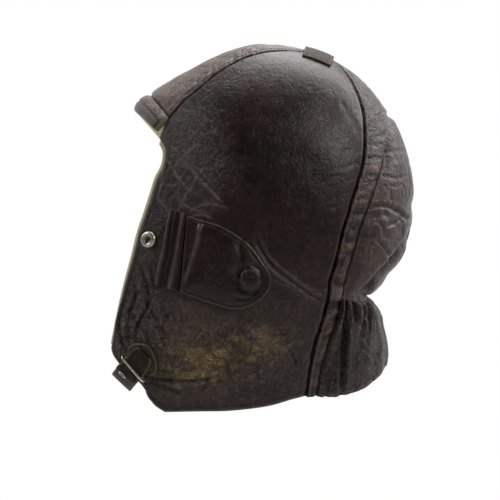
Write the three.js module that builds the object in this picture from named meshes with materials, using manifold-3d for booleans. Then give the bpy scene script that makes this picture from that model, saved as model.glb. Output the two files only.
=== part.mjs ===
// Leather flying helmet, life size, in millimetres. +Z is up, the face looks along -Y and +X is the
// wearer's left. Every soft piece lies on one smooth head form, measured outwards from the ear point:
// turn is the direction round the ear in degrees (0 to the back, 90 up), and climb runs from 0 at the
// ear to 90 on the middle line of the helmet. The origin is where the crown rests on the head.
import * as THREE from 'three';
import { mergeVertices } from 'three/addons/utils/BufferGeometryUtils.js';
import Module from 'manifold-3d';

// Overall sizes of the helmet.
const helmetDepth = 234;
const helmetHeight = 285;
const helmetWidth = 172;

// Walls, and the gaps that keep neighbouring pieces apart.
const leatherWall = 1.6;
const liningWall = 1.6;
const liningGap = 0.9;
const liningReveal = 2.6;
const liningHem = 5;
const liningSagMost = 20;
const seamGap = 0.5;
const fitGap = 0.4;

// Padding of the panels, and how far it rolls off beside a seam.
const panelPuff = 1.5;
const puffRoll = 7;
const backPuff = 3.4;
const skirtGather = 2.2;
const gathersEachSide = 5;
const stripPucker = 0.5;
const crownEndWidth = 28;

// Trimmings.
const bandThickness = 3.2;
const bandPuff = 3;
const tabWidth = 22;
const tabLength = 64;
const tabThickness = 1.8;
const tackThickness = 1.6;
const tackWidth = 3.4;
const flapThickness = 2;
const flapPuff = 1.2;
const pleatThickness = 1.4;
const pleatHeight = 2.2;
const capRadius = 8.3;
const capHeight = 3.6;
const studRadius = 6.3;
const studHeight = 2.4;
const patchThickness = 1.6;
const strapWidth = 19;
const strapThickness = 2;
const strapTipShare = 0.6;
const wireDiameter = 1.8;
const eyeletRadius = 3.6;
const eyeletHole = 1.9;
const eyeletFlange = 0.6;

// Roundness of the head form towards its middle line and towards its sides.
const crestPower = 2.5;
const sidePower = 2.2;
const pinchPower = 4;
const asidePower = 4;

// Outline of the head form from the brow over the crown, down the back, round the neck and up the open
// face. reach is a share of the depth and the height, pinch the share by which the nape is drawn in.
const outline = table(['turn', 'reach', 'pinch'], [
  [134, 0.530, 0],
  [127, 0.528, 0],
  [118, 0.521, 0],
  [109, 0.523, 0],
  [98, 0.537, 0],
  [86, 0.557, 0],
  [72, 0.574, 0],
  [60, 0.591, 0],
  [48, 0.600, 0],
  [36, 0.597, 0],
  [24, 0.583, 0],
  [14, 0.564, 0],
  [6, 0.542, 0.004],
  [0, 0.534, 0.035],
  [-6, 0.531, 0.095],
  [-12, 0.530, 0.170],
  [-16, 0.530, 0.240],
  [-17.4, 0.530, 0.252],
  [-18.8, 0.532, 0.205],
  [-21, 0.535, 0.130],
  [-25, 0.541, 0.068],
  [-30, 0.552, 0.012],
  [-35, 0.569, 0],
  [-42, 0.581, 0],
  [-51, 0.581, 0],
  [-63, 0.573, 0],
  [-80, 0.565, 0],
  [-95, 0.566, 0],
  [-110, 0.585, 0],
  [-121, 0.600, 0],
  [-132, 0.592, 0],
  [-143, 0.577, 0],
  [-151, 0.566, 0],
  [-162, 0.527, 0],
  [-175, 0.505, 0],
  [-190, 0.500, 0],
  [-205, 0.503, 0],
  [-217, 0.513, 0],
]);

// Seams and edges as seen from the left. back and up are shares of the depth and height from the ear.
const crownSeam = table(['back', 'up'], [
  [-0.247, 0.353],
  [-0.200, 0.399],
  [-0.150, 0.433],
  [-0.100, 0.468],
  [-0.050, 0.496],
  [0.000, 0.517],
  [0.050, 0.530],
  [0.117, 0.538],
  [0.183, 0.537],
  [0.253, 0.528],
]);
const browSide = table(['back', 'up'], [
  [-0.280, 0.301],
  [-0.267, 0.326],
  [-0.247, 0.353],
]);
const faceEdge = table(['back', 'up'], [
  [-0.280, 0.301],
  [-0.261, 0.270],
  [-0.267, 0.225],
  [-0.287, 0.192],
  [-0.303, 0.151],
  [-0.323, 0.101],
  [-0.343, 0.055],
  [-0.370, -0.027],
  [-0.397, -0.104],
  [-0.420, -0.178],
  [-0.440, -0.260],
]);
const jawEdge = table(['back', 'up'], [
  [-0.440, -0.260],
  [-0.435, -0.280],
  [-0.410, -0.310],
  [-0.360, -0.348],
  [-0.337, -0.366],
  [-0.317, -0.398],
  [-0.293, -0.421],
  [-0.263, -0.437],
]);
const neckEdge = table(['back', 'up'], [
  [-0.263, -0.437],
  [-0.150, -0.434],
  [-0.050, -0.432],
  [0.083, -0.418],
  [0.150, -0.402],
  [0.198, -0.392],
]);

// Sections down the back: where the seam strip meets the side panel, where it meets the middle piece,
// and the turn of the same section on the middle line.
const backSections = table(['seamBack', 'seamUp', 'edgeBack', 'edgeUp', 'crest'], [
  [0.253, 0.528, 0.272, 0.527, 62.7],
  [0.307, 0.511, 0.325, 0.514, 57.5],
  [0.333, 0.479, 0.374, 0.484, 52],
  [0.360, 0.438, 0.414, 0.446, 47],
  [0.380, 0.392, 0.450, 0.411, 42.5],
  [0.388, 0.364, 0.469, 0.384, 39.3],
  [0.390, 0.337, 0.467, 0.359, 38.6],
  [0.390, 0.307, 0.463, 0.315, 33],
  [0.389, 0.268, 0.458, 0.268, 27],
  [0.380, 0.219, 0.445, 0.219, 20.5],
  [0.363, 0.173, 0.427, 0.173, 15],
  [0.343, 0.121, 0.405, 0.123, 9.5],
  [0.320, 0.058, 0.378, 0.066, 4],
  [0.302, -0.005, 0.355, 0.000, -1.5],
  [0.283, -0.060, 0.333, -0.055, -7.5],
  [0.273, -0.099, 0.320, -0.099, -13],
  [0.268, -0.134, 0.313, -0.129, -17.4],
  [0.258, -0.164, 0.305, -0.162, -19.8],
  [0.242, -0.211, 0.287, -0.208, -23],
  [0.225, -0.260, 0.267, -0.258, -26.5],
  [0.210, -0.323, 0.247, -0.322, -30],
  [0.198, -0.392, 0.232, -0.390, -33.2],
]);
const notchRow = 5;
const foldRow = 11;
const waistRow = 16;

// Main creases of the side panel: a straight run from one point to another, with its depth and breadth
// as shares of the panel's padding and roll.
const creases = table(['fromBack', 'fromUp', 'toBack', 'toUp', 'depth', 'breadth'], [
  [0.077, -0.033, 0.257, -0.140, 0.85, 0.75],
  [-0.317, -0.341, -0.183, -0.348, 0.60, 0.60],
  [-0.393, -0.282, -0.417, -0.225, 0.60, 0.60],
  [-0.250, 0.250, -0.150, 0.130, 0.45, 0.80],
]);

// Flat shapes sewn on the side panel, as outlines seen from the left.
const flapOutline = table(['back', 'up'], [
  [-0.183, 0.088],
  [-0.133, 0.076],
  [-0.083, 0.063],
  [-0.033, 0.041],
  [0.017, 0.010],
  [0.050, -0.027],
  [0.080, -0.066],
  [0.081, -0.096],
  [0.057, -0.126],
  [0.017, -0.148],
  [-0.033, -0.156],
  [-0.083, -0.147],
  [-0.133, -0.134],
  [-0.205, -0.112],
]);
const flapCentre = { back: -0.070, up: -0.040 };
const flapReach = 0.16;
const pleatCorners = table(['back', 'up'], [
  [-0.237, 0.107],
  [-0.187, 0.093],
  [-0.212, -0.110],
  [-0.286, -0.091],
]);
const patchOutline = table(['back', 'up'], [
  [-0.374, -0.279],
  [-0.372, -0.262],
  [-0.360, -0.250],
  [-0.333, -0.248],
  [-0.313, -0.251],
  [-0.299, -0.262],
  [-0.288, -0.282],
  [-0.281, -0.310],
  [-0.286, -0.326],
  [-0.304, -0.332],
]);
const patchCentre = { back: -0.333, up: -0.292 };
const capPlace = { back: 0.018, up: -0.078 };
const studPlace = { back: -0.308, up: 0.027 };
const tackLine = table(['back', 'up'], [
  [-0.283, 0.316],
  [-0.250, 0.348],
]);
const tabTurn = 65.3;

// Folds across the ballooned panel, and the turns at the middle of the crown panel's front edge and of
// the brow band's lower edge.
const backFolds = table(['turn', 'depth', 'breadth'], [
  [12.5, 0.50, 2.2],
  [-7.5, 0.35, 2.4],
]);
const browCrest = 126.8;
const browLow = { back: -0.300, up: 0.327, crest: 134 };

// Chin strap: its run on the cheek, seen from the left, then its way round under the chin. out is a
// share of the half width where the strap has left the cheek.
const strapTip = { back: -0.317, up: -0.272 };
const slidePlace = { back: -0.350, up: -0.312 };
const slideAlong = { back: 0.077, up: -0.060 };
const strapBend = { back: -0.374, up: -0.329 };
const strapRound = table(['out', 'back', 'up'], [
  [0.540, -0.393, -0.343],
  [0.400, -0.403, -0.353],
  [0.200, -0.409, -0.359],
  [0.000, -0.411, -0.361],
]);
const strapTurn = { from: 0.12, to: 0.30 };
const eyeletShare = 0.36;
const eyeletOffset = -0.12;

const degree = Math.PI / 180;
const leatherLook = { color: 0x2b1f1b, roughness: 0.45, metalness: 0 };
const trimLook = { color: 0x241a17, roughness: 0.4, metalness: 0 };
const liningLook = { color: 0xd8cda5, roughness: 0.95, metalness: 0 };
const steelLook = { color: 0xc9c7c0, roughness: 0.25, metalness: 1 };

function table(names, rows) {
  return rows.map((row) => Object.fromEntries(names.map((name, i) => [name, row[i]])));
}

// Smooth value of one column of the outline at a turn, through all rows of the closed loop.
function outlineValue(column, turn) {
  const count = outline.length;
  const first = outline[0].turn;
  let t = turn;
  while (t > first) t -= 360;
  while (t <= first - 360) t += 360;
  let i = 0;
  while (i < count - 1 && outline[i + 1].turn >= t) i += 1;
  const knot = (k) => {
    const lap = Math.floor(k / count);
    return [outline[k - lap * count].turn - 360 * lap, outline[k - lap * count][column]];
  };
  const [t0, v0] = knot(i - 1);
  const [t1, v1] = knot(i);
  const [t2, v2] = knot(i + 1);
  const [t3, v3] = knot(i + 2);
  const slope = (ta, va, tb, vb, tc, vc) => (
    ((vb - va) / (tb - ta) * (tc - tb) + (vc - vb) / (tc - tb) * (tb - ta)) / (tc - ta)
  );
  const span = t2 - t1;
  const s = (t - t1) / span;
  const m1 = slope(t0, v0, t1, v1, t2, v2) * span;
  const m2 = slope(t1, v1, t2, v2, t3, v3) * span;
  return v1 * (1 + 2 * s) * (1 - s) ** 2 + m1 * s * (1 - s) ** 2
    + v2 * s * s * (3 - 2 * s) + m2 * s * s * (s - 1);
}

// Reach of the head form in direction turn, at the share out of the way to the middle line.
function reachAt(turn, out) {
  return out * outlineValue('reach', turn) * (1 - outlineValue('pinch', turn) * out ** pinchPower);
}

function basePoint(turn, climb) {
  const rise = Math.sin(climb * degree);
  const side = Math.cos(climb * degree);
  const reach = reachAt(turn, Math.max(rise, 0) ** (2 / crestPower));
  return new THREE.Vector3(
    Math.sign(side) * Math.abs(side) ** (2 / sidePower) * helmetWidth / 2,
    reach * Math.cos(turn * degree) * helmetDepth,
    reach * Math.sin(turn * degree) * helmetHeight,
  );
}

// Directions in which the form runs at a place, per degree of turn and of climb.
function runs(place) {
  const step = 0.25;
  const { turn, climb } = place;
  return {
    turn: basePoint(turn + step, climb).sub(basePoint(turn - step, climb)).divideScalar(2 * step),
    climb: basePoint(turn, climb + step).sub(basePoint(turn, climb - step)).divideScalar(2 * step),
  };
}

function outward(place) {
  if (place.climb < 2) return new THREE.Vector3(1, 0, 0);
  const run = runs(place);
  return run.climb.cross(run.turn).normalize();
}

// Point on the head form, raised by a distance along the outward direction.
function headPoint(place, raise = 0) {
  const point = basePoint(place.turn, place.climb).addScaledVector(outward(place), raise);
  if (Math.abs(place.climb - 90) < 1e-3) point.x = 0;
  return point;
}

// Place on the left half of the form that lies behind a point of the side view.
function placeAt({ back, up }) {
  const turn = Math.atan2(up, back) / degree;
  const wanted = Math.hypot(back, up);
  let low = 0;
  let high = 1;
  for (let i = 0; i < 40; i += 1) {
    const middle = (low + high) / 2;
    if (reachAt(turn, middle) < wanted) low = middle;
    else high = middle;
  }
  return { turn, climb: Math.asin(Math.min(low, 1) ** (crestPower / 2)) / degree };
}

function shareOf(point) {
  return { back: point.y / helmetDepth, up: point.z / helmetHeight };
}

function between(a, b, share) {
  const turn = a.turn + (((b.turn - a.turn + 540) % 360) - 180) * share;
  return { turn, climb: a.climb + (b.climb - a.climb) * share };
}

// Highest climb that still lies a distance away from the middle line.
function climbAside(distance) {
  return Math.acos((2 * distance / helmetWidth) ** (sidePower / 2)) / degree;
}

// Place behind a point of the side view, eased away from the middle line to lie a distance aside of it.
function asidePlace(spot, aside) {
  const { turn, climb } = placeAt(spot);
  const eased = (basePoint(turn, climb).x ** asidePower + aside ** asidePower) ** (1 / asidePower);
  return { turn, climb: climbAside(eased) };
}

// Evenly spaced places on a smooth line through the rows of a side view table.
function placesAlong(rows, steps, aside = 0) {
  const curve = new THREE.CatmullRomCurve3(
    rows.map(({ back, up }) => new THREE.Vector3(0, back * helmetDepth, up * helmetHeight)),
    false,
    'centripetal',
  );
  return curve.getSpacedPoints(steps).map((point) => asidePlace(shareOf(point), aside));
}

// The same line moved sideways over the form by a distance, to its left as it runs, seen from outside.
function beside(places, distance) {
  return places.map((place, i) => {
    const before = headPoint(places[Math.max(i - 1, 0)]);
    const after = headPoint(places[Math.min(i + 1, places.length - 1)]);
    const across = outward(place).cross(after.sub(before)).normalize().multiplyScalar(distance);
    return moved(place, across);
  });
}

function moved(place, shift) {
  const run = runs(place);
  const tt = run.turn.dot(run.turn);
  const cc = run.climb.dot(run.climb);
  const tc = run.turn.dot(run.climb);
  const t = run.turn.dot(shift);
  const c = run.climb.dot(shift);
  const whole = tt * cc - tc * tc;
  return { turn: place.turn + (t * cc - c * tc) / whole, climb: place.climb + (c * tt - t * tc) / whole };
}

// Collects triangles, closes them into one body and turns its faces outwards.
function body(corners) {
  const geometry = new THREE.BufferGeometry();
  geometry.setAttribute('position', new THREE.Float32BufferAttribute(corners.flatMap((p) => p.toArray()), 3));
  return facingOut(geometry);
}

function facingOut(source) {
  const bare = source.clone();
  bare.deleteAttribute('normal');
  bare.deleteAttribute('uv');
  const geometry = mergeVertices(bare, 1e-4);
  const p = geometry.getAttribute('position');
  const order = Array.from(geometry.index.array);
  const a = new THREE.Vector3();
  const b = new THREE.Vector3();
  const c = new THREE.Vector3();
  const kept = [];
  let volume = 0;
  for (let i = 0; i < order.length; i += 3) {
    const [u, v, w] = order.slice(i, i + 3);
    if (u !== v && v !== w && w !== u) {
      kept.push(u, v, w);
      a.fromBufferAttribute(p, u);
      b.fromBufferAttribute(p, v);
      c.fromBufferAttribute(p, w);
      volume += a.dot(b.cross(c));
    }
  }
  geometry.setIndex(volume > 0 ? kept : kept.reverse());
  geometry.computeVertexNormals();
  return geometry;
}

function quad(corners, a, b, c, d) {
  corners.push(a, b, c, a, c, d);
}

// Wall between an outer and an inner grid of points. An open wall has no edge at the end of its rows,
// where its mirror image goes on.
function gridWall(outer, inner, open = false) {
  const corners = [];
  const last = outer.length - 1;
  const end = outer[0].length - 1;
  for (let i = 0; i < last; i += 1) {
    for (let j = 0; j < end; j += 1) {
      quad(corners, outer[i][j], outer[i + 1][j], outer[i + 1][j + 1], outer[i][j + 1]);
      quad(corners, inner[i][j], inner[i][j + 1], inner[i + 1][j + 1], inner[i + 1][j]);
    }
    quad(corners, outer[i][0], inner[i][0], inner[i + 1][0], outer[i + 1][0]);
    if (!open) quad(corners, outer[i][end], outer[i + 1][end], inner[i + 1][end], inner[i][end]);
  }
  for (let j = 0; j < end; j += 1) {
    quad(corners, outer[0][j], outer[0][j + 1], inner[0][j + 1], inner[0][j]);
    quad(corners, outer[last][j], inner[last][j], inner[last][j + 1], outer[last][j + 1]);
  }
  return corners;
}

// Wall between two sets of closed rings round a middle point.
function ringWall(outer, inner) {
  const corners = [];
  const count = outer.rings[0].length;
  const last = outer.rings.length - 1;
  for (let i = 0; i < count; i += 1) {
    const next = (i + 1) % count;
    corners.push(outer.middle, outer.rings[0][i], outer.rings[0][next]);
    corners.push(inner.middle, inner.rings[0][next], inner.rings[0][i]);
    for (let k = 0; k < last; k += 1) {
      const [o, p, q, r] = [outer.rings[k], outer.rings[k + 1], inner.rings[k], inner.rings[k + 1]];
      quad(corners, o[i], p[i], p[next], o[next]);
      quad(corners, q[i], q[next], r[next], r[i]);
    }
    quad(corners, outer.rings[last][i], inner.rings[last][i], inner.rings[last][next], outer.rings[last][next]);
  }
  return corners;
}

function mirrored(corners) {
  const flipped = [];
  for (let i = 0; i < corners.length; i += 3) {
    flipped.push(...[corners[i], corners[i + 2], corners[i + 1]].map((p) => new THREE.Vector3(-p.x, p.y, p.z)));
  }
  return flipped;
}

function bothHalves(corners) {
  return body([...corners, ...mirrored(corners)]);
}

const helmet = new THREE.Group();

function addPiece(name, geometry, look) {
  const mesh = new THREE.Mesh(geometry, new THREE.MeshStandardMaterial(look));
  mesh.name = name;
  helmet.add(mesh);
  return mesh;
}

function addPair(name, corners, look) {
  addPiece(`${name}_left`, body(corners), look);
  addPiece(`${name}_right`, body(mirrored(corners)), look);
}

// Outer and inner grids over rows of places, with a raise for each spot and an even wall.
function wallGrids(rows, raiseAt, wall, drop = 0) {
  return [
    rows.map((row, i) => row.map((place, j) => headPoint(place, raiseAt(place, i, j) - drop))),
    rows.map((row, i) => row.map((place, j) => headPoint(place, raiseAt(place, i, j) - drop - wall))),
  ];
}

// Side panels, lining and the seams between the panels.
const seamAside = crownEndWidth / 2;
const crownSteps = 10;
const crownSeamLine = placesAlong(crownSeam, crownSteps, seamAside);
const backSeamLine = backSections.map(({ seamBack, seamUp }) => (
  asidePlace({ back: seamBack, up: seamUp }, seamAside)
));
const leatherSteps = { face: 9, browSide: 2, neck: 6, jaw: 6 };
const liningSteps = { face: 6, browSide: 1, neck: 5, jaw: 4 };
const everyRow = () => true;
const liningRow = (i) => i % 2 === 0 || i > foldRow;

// Once round the side panel, clockwise from the chin, with an inset for each kind of edge and the rows
// of the seams that are used.
function sideBoundary(steps, inset, usesRow) {
  const chosen = (places) => places.filter((_, i) => i === places.length - 1 || usesRow(i));
  const reversed = (rows) => [...rows].reverse();
  return [
    beside(placesAlong(reversed(faceEdge), steps.face), -inset.face),
    beside(placesAlong(browSide, steps.browSide), -inset.seam),
    beside(chosen(crownSeamLine), -inset.seam),
    beside(chosen(backSeamLine), -inset.seam),
    beside(placesAlong(reversed(neckEdge), steps.neck), -inset.neck),
    beside(placesAlong(reversed(jawEdge), steps.jaw), -inset.neck),
  ].flatMap((places) => places.slice(0, -1));
}

function ringPlaces(boundary, shares) {
  return shares.map((share) => boundary.map(({ turn, climb }) => ({ turn, climb: climb * share })));
}

function rollOff(distance) {
  return 1 - Math.exp(-((distance / puffRoll) ** 2));
}

function distanceToRun(point, a, b) {
  const run = b.clone().sub(a);
  const share = THREE.MathUtils.clamp(point.clone().sub(a).dot(run) / run.lengthSq(), 0, 1);
  return point.distanceTo(a.clone().addScaledVector(run, share));
}

const leatherInset = { face: 0, seam: seamGap / 2, neck: 0 };
const sideEdge = sideBoundary(leatherSteps, leatherInset, everyRow);
const sideEdgePoints = sideEdge.map((place) => headPoint(place));
const creaseRuns = creases.map(({ fromBack, fromUp, toBack, toUp, depth, breadth }) => ({
  from: headPoint(placeAt({ back: fromBack, up: fromUp })),
  to: headPoint(placeAt({ back: toBack, up: toUp })),
  depth,
  breadth: breadth * puffRoll,
}));

// Padding of the side panel without its creases, which is what the pieces sewn on it rest on.
function sidePuff(place) {
  const point = headPoint(place);
  const distances = sideEdgePoints.map((a, i) => (
    distanceToRun(point, a, sideEdgePoints[(i + 1) % sideEdgePoints.length])
  ));
  return panelPuff * rollOff(Math.min(...distances));
}

function sideRaise(place) {
  const point = headPoint(place);
  return creaseRuns.reduce((raise, { from, to, depth, breadth }) => (
    raise * (1 - depth * Math.exp(-((distanceToRun(point, from, to) / breadth) ** 2)))
  ), sidePuff(place));
}

function sidePanel() {
  const rings = ringPlaces(sideEdge, [0.3, 0.52, 0.7, 0.83, 0.92, 0.97, 1]);
  const [outer, inner] = wallGrids(rings, (place) => sideRaise(place), leatherWall);
  const middle = { turn: 0, climb: 0 };
  const raise = sideRaise(middle);
  return ringWall(
    { middle: headPoint(middle, raise), rings: outer },
    { middle: headPoint(middle, raise - leatherWall), rings: inner },
  );
}
addPair('side_panel', sidePanel(), leatherLook);

// Row of places from a seam towards the middle line, running square into it at the end.
function easedRow(side, end, steps) {
  return Array.from({ length: steps + 1 }, (_, j) => ({
    turn: between(side, end, Math.sin(j / steps * Math.PI / 2)).turn,
    climb: between(side, end, j / steps).climb,
  }));
}

function straightRow(side, end, steps) {
  return Array.from({ length: steps + 1 }, (_, j) => between(side, end, j / steps));
}

function crossingRows(sides, crests, steps) {
  return sides.map((side, i) => easedRow(side, { turn: crests[i], climb: 90 }, steps));
}

function onMiddle(row) {
  return row.map((place, j) => (j === row.length - 1 ? { turn: place.turn, climb: 90 } : place));
}

// How far each spot of a grid has risen from the seams round it, from 0 on a seam to 1 well inside.
function seamRise(rows, sewn) {
  const points = rows.map((row) => row.map((place) => headPoint(place)));
  const last = rows.length - 1;
  return (i, j) => {
    const spot = points[i][j];
    const end = rows[i].length - 1;
    return (sewn.side ? rollOff(spot.distanceTo(points[i][0])) : 1)
      * (sewn.otherSide ? rollOff(spot.distanceTo(points[i][end])) : 1)
      * (sewn.start ? rollOff(spot.distanceTo(points[0][j])) : 1)
      * (sewn.end ? rollOff(spot.distanceTo(points[last][j])) : 1);
  };
}

// Crown panel, from the brow band to the tab.
const backCrest = backSections[0].crest;
const crownLine = beside(crownSeamLine, seamGap / 2);
const crownCrests = crownLine.map((_, i) => browCrest + (backCrest - browCrest) * i / crownSteps);

function crownPanel() {
  const rows = crossingRows(crownLine, crownCrests, 6);
  rows[0] = onMiddle(beside(rows[0], -seamGap / 2));
  rows[crownSteps] = onMiddle(beside(rows[crownSteps], seamGap / 2));
  const rise = seamRise(rows, { side: true, start: true, end: false });
  return gridWall(...wallGrids(rows, (_, i, j) => panelPuff * rise(i, j), leatherWall), true);
}
addPiece('crown_panel', bothHalves(crownPanel()), leatherLook);

// Raised strips behind the rear seams, puckered from row to row.
const stripSeam = beside(backSeamLine, seamGap / 2);
const stripEdge = backSections.map(({ edgeBack, edgeUp }) => (
  asidePlace({ back: edgeBack, up: edgeUp }, seamGap / 2)
));

function rearStrip() {
  const steps = 3;
  const edges = beside(stripEdge, -seamGap / 2);
  const rows = stripSeam.map((seam, i) => (
    i <= notchRow ? easedRow(seam, edges[i], steps) : straightRow(seam, edges[i], steps)
  ));
  rows[0] = beside(rows[0], -seamGap / 2);
  const raise = (_, i, j) => (j === 0 || j === steps ? 0 : panelPuff * (i % 2 ? 1 : stripPucker));
  return gridWall(...wallGrids(rows, raise, leatherWall));
}
addPair('rear_strip', rearStrip(), leatherLook);

// Ballooned panel over the back of the head, with its folds across.
function foldShare(turn) {
  return backFolds.reduce((share, fold) => (
    share * (1 - fold.depth * Math.exp(-(((turn - fold.turn) / fold.breadth) ** 2)))
  ), 1);
}

function backPanel() {
  const first = notchRow + 1;
  const sides = beside(stripEdge, seamGap / 2).slice(first, waistRow + 1);
  const crests = backSections.slice(first, waistRow + 1).map(({ crest }) => crest);
  const rows = crossingRows(sides, crests, 7);
  const last = rows.length - 1;
  rows[last] = onMiddle(beside(rows[last], seamGap / 2));
  const rise = seamRise(rows, { side: true, start: true, end: true });
  const raise = (place, i, j) => backPuff * rise(i, j) * foldShare(place.turn);
  return gridWall(...wallGrids(rows, raise, leatherWall), true);
}
addPiece('back_panel', bothHalves(backPanel()), leatherLook);

// Gathered skirt below the nape.
function neckSkirt() {
  const sides = beside(stripEdge, seamGap / 2).slice(waistRow);
  const crests = backSections.slice(waistRow).map(({ crest }) => crest);
  const steps = gathersEachSide * 4;
  const rows = crossingRows(sides, crests, steps);
  rows[0] = onMiddle(beside(rows[0], -seamGap / 2));
  const last = rows.length - 1;
  const raise = (_, i, j) => {
    const wave = 0.5 - 0.5 * Math.cos(j / steps * gathersEachSide * 2 * Math.PI);
    const top = i === 0 ? 0.25 : 1 - 0.7 * i / last;
    return skirtGather * (0.3 + 0.7 * wave) * top;
  };
  return gridWall(...wallGrids(rows, raise, leatherWall), true);
}
addPiece('neck_skirt', bothHalves(neckSkirt()), leatherLook);

// Padded brow band, from the crown panel down to the edge over the brow.
function browBand() {
  const steps = 9;
  const top = onMiddle(beside(crossingRows([crownLine[0]], [browCrest], steps)[0], seamGap / 2));
  const low = crossingRows([placeAt(browLow)], [browLow.crest], steps)[0];
  const shares = [0, 0.22, 0.5, 0.78, 1];
  const rows = shares.map((share) => top.map((place, j) => between(place, low[j], share)));
  const raise = (_, i) => bandPuff * Math.sin(Math.PI * shares[i]) ** 0.7;
  return gridWall(
    rows.map((row, i) => row.map((place, j) => headPoint(place, raise(place, i, j)))),
    rows.map((row) => row.map((place) => headPoint(place, -bandThickness / 2))),
    true,
  );
}
addPiece('brow_band', bothHalves(browBand()), trimLook);

// Strip of leather over the surface along a run of places, flat against it.
function overStrip(line, width, raiseAt, thickness, steps = 2) {
  const rows = line.map((place, i) => {
    const [before, after] = [line[Math.max(i - 1, 0)], line[Math.min(i + 1, line.length - 1)]];
    const run = headPoint(after).sub(headPoint(before));
    const across = outward(place).cross(run).normalize();
    return Array.from({ length: steps + 1 }, (_, j) => (
      moved(place, across.clone().multiplyScalar(width * (j / steps - 0.5)))
    ));
  });
  const top = (place) => raiseAt(place) + thickness;
  return gridWall(...wallGrids(rows, top, thickness));
}

const tackSpots = placesAlong(tackLine, 3);
addPair('brow_tack', overStrip(tackSpots, tackWidth, () => panelPuff + fitGap, tackThickness), trimLook);

// Leather loop over the rear end of the crown panel.
function crownTab() {
  const end = climbAside(tabLength / 2);
  const steps = 6;
  const line = Array.from({ length: steps + 1 }, (_, i) => ({
    turn: tabTurn,
    climb: end + (180 - 2 * end) * i / steps,
  }));
  return overStrip(line, tabWidth, () => panelPuff + fitGap, tabThickness);
}
addPiece('crown_tab', body(crownTab()), trimLook);

// Flat shape over the side panel, as rings of places from its middle to its outline.
function shapeRings(centre, outlinePoints, shares) {
  return shares.map((share) => outlinePoints.map(({ back, up }) => placeAt({
    back: centre.back + (back - centre.back) * share,
    up: centre.up + (up - centre.up) * share,
  })));
}

// Outline through the rows of a table, closed by a straight edge from the last row to the first.
function closedOutline(rows, steps, straightSteps) {
  const curve = new THREE.CatmullRomCurve3(
    rows.map(({ back, up }) => new THREE.Vector3(0, back * helmetDepth, up * helmetHeight)),
    false,
    'centripetal',
  );
  const round = curve.getSpacedPoints(steps).map(shareOf);
  const [from, to] = [round[steps], round[0]];
  const straight = Array.from({ length: straightSteps - 1 }, (_, i) => ({
    back: from.back + (to.back - from.back) * (i + 1) / straightSteps,
    up: from.up + (to.up - from.up) * (i + 1) / straightSteps,
  }));
  return [...round, ...straight];
}

function sewnShape(centre, outlinePoints, shares, thickness, puff) {
  const rings = shapeRings(centre, outlinePoints, shares);
  const lift = (place, k) => sidePuff(place) + fitGap + puff * (1 - shares[k] ** 2);
  const outer = rings.map((ring, k) => ring.map((place) => headPoint(place, lift(place, k) + thickness)));
  const inner = rings.map((ring, k) => ring.map((place) => headPoint(place, lift(place, k))));
  const middle = placeAt(centre);
  const raise = sidePuff(middle) + fitGap + puff;
  return ringWall(
    { middle: headPoint(middle, raise + thickness), rings: outer },
    { middle: headPoint(middle, raise), rings: inner },
  );
}

const flapEdge = closedOutline(flapOutline, 20, 5);
addPair('ear_flap', sewnShape(flapCentre, flapEdge, [0.4, 0.75, 1], flapThickness, flapPuff), leatherLook);

// Double pleat along the front of the flap.
function flapPleat() {
  const [topFront, topRear, lowRear, lowFront] = pleatCorners;
  const [across, down] = [8, 6];
  const mix = (a, b, s) => ({ back: a.back + (b.back - a.back) * s, up: a.up + (b.up - a.up) * s });
  const rows = Array.from({ length: down + 1 }, (_, i) => Array.from({ length: across + 1 }, (__, j) => (
    placeAt(mix(mix(topFront, topRear, j / across), mix(lowFront, lowRear, j / across), i / down))
  )));
  const pleats = [0, 0.7, 1, 0.7, 0.15, 0.8, 1, 0.5, 0];
  const raise = (place, i, j) => sidePuff(place) + fitGap + pleatThickness + pleatHeight * pleats[j];
  return gridWall(...wallGrids(rows, raise, pleatThickness));
}
addPair('flap_pleat', flapPleat(), leatherLook);

// Round fittings, turned about their own axis, then seated on the surface.
function turned(profile, sides) {
  return facingOut(new THREE.LatheGeometry(profile.map(([r, h]) => new THREE.Vector2(r, h)), sides));
}

function seat(mesh, point, direction) {
  mesh.position.copy(point);
  mesh.quaternion.setFromUnitVectors(new THREE.Vector3(0, 1, 0), direction);
}

function seatPair(name, geometry, place, raise, look) {
  const point = headPoint(place, raise);
  const direction = outward(place);
  seat(addPiece(`${name}_left`, geometry, look), point, direction);
  const other = addPiece(`${name}_right`, geometry.clone(), look);
  seat(other, new THREE.Vector3(-point.x, point.y, point.z), new THREE.Vector3(-direction.x, direction.y, direction.z));
}

const capProfile = [
  [0, 0],
  [capRadius, 0],
  [capRadius, capHeight * 0.35],
  [capRadius * 0.9, capHeight * 0.75],
  [capRadius * 0.6, capHeight * 0.97],
  [0, capHeight],
];
const studProfile = [
  [0, 0],
  [studRadius, 0],
  [studRadius, studHeight * 0.4],
  [studRadius * 0.86, studHeight],
  [studRadius * 0.5, studHeight],
  [studRadius * 0.38, studHeight * 0.5],
  [0, studHeight * 0.5],
];
const roundSides = 14;
const capSpot = placeAt(capPlace);
const capShare = Math.hypot(capPlace.back - flapCentre.back, capPlace.up - flapCentre.up) / flapReach;
const capRaise = sidePuff(capSpot) + flapPuff * (1 - Math.min(capShare, 1) ** 2) + flapThickness + 2 * fitGap;
seatPair('snap_cap', turned(capProfile, roundSides), capSpot, capRaise, trimLook);
const studSpot = placeAt(studPlace);
seatPair('press_stud', turned(studProfile, roundSides), studSpot, sidePuff(studSpot) + fitGap, steelLook);

// Patches under the ends of the chin strap.
const patchEdge = closedOutline(patchOutline, 13, 3);
addPair('strap_patch', sewnShape(patchCentre, patchEdge, [0.6, 1], patchThickness, 0), leatherLook);

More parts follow.
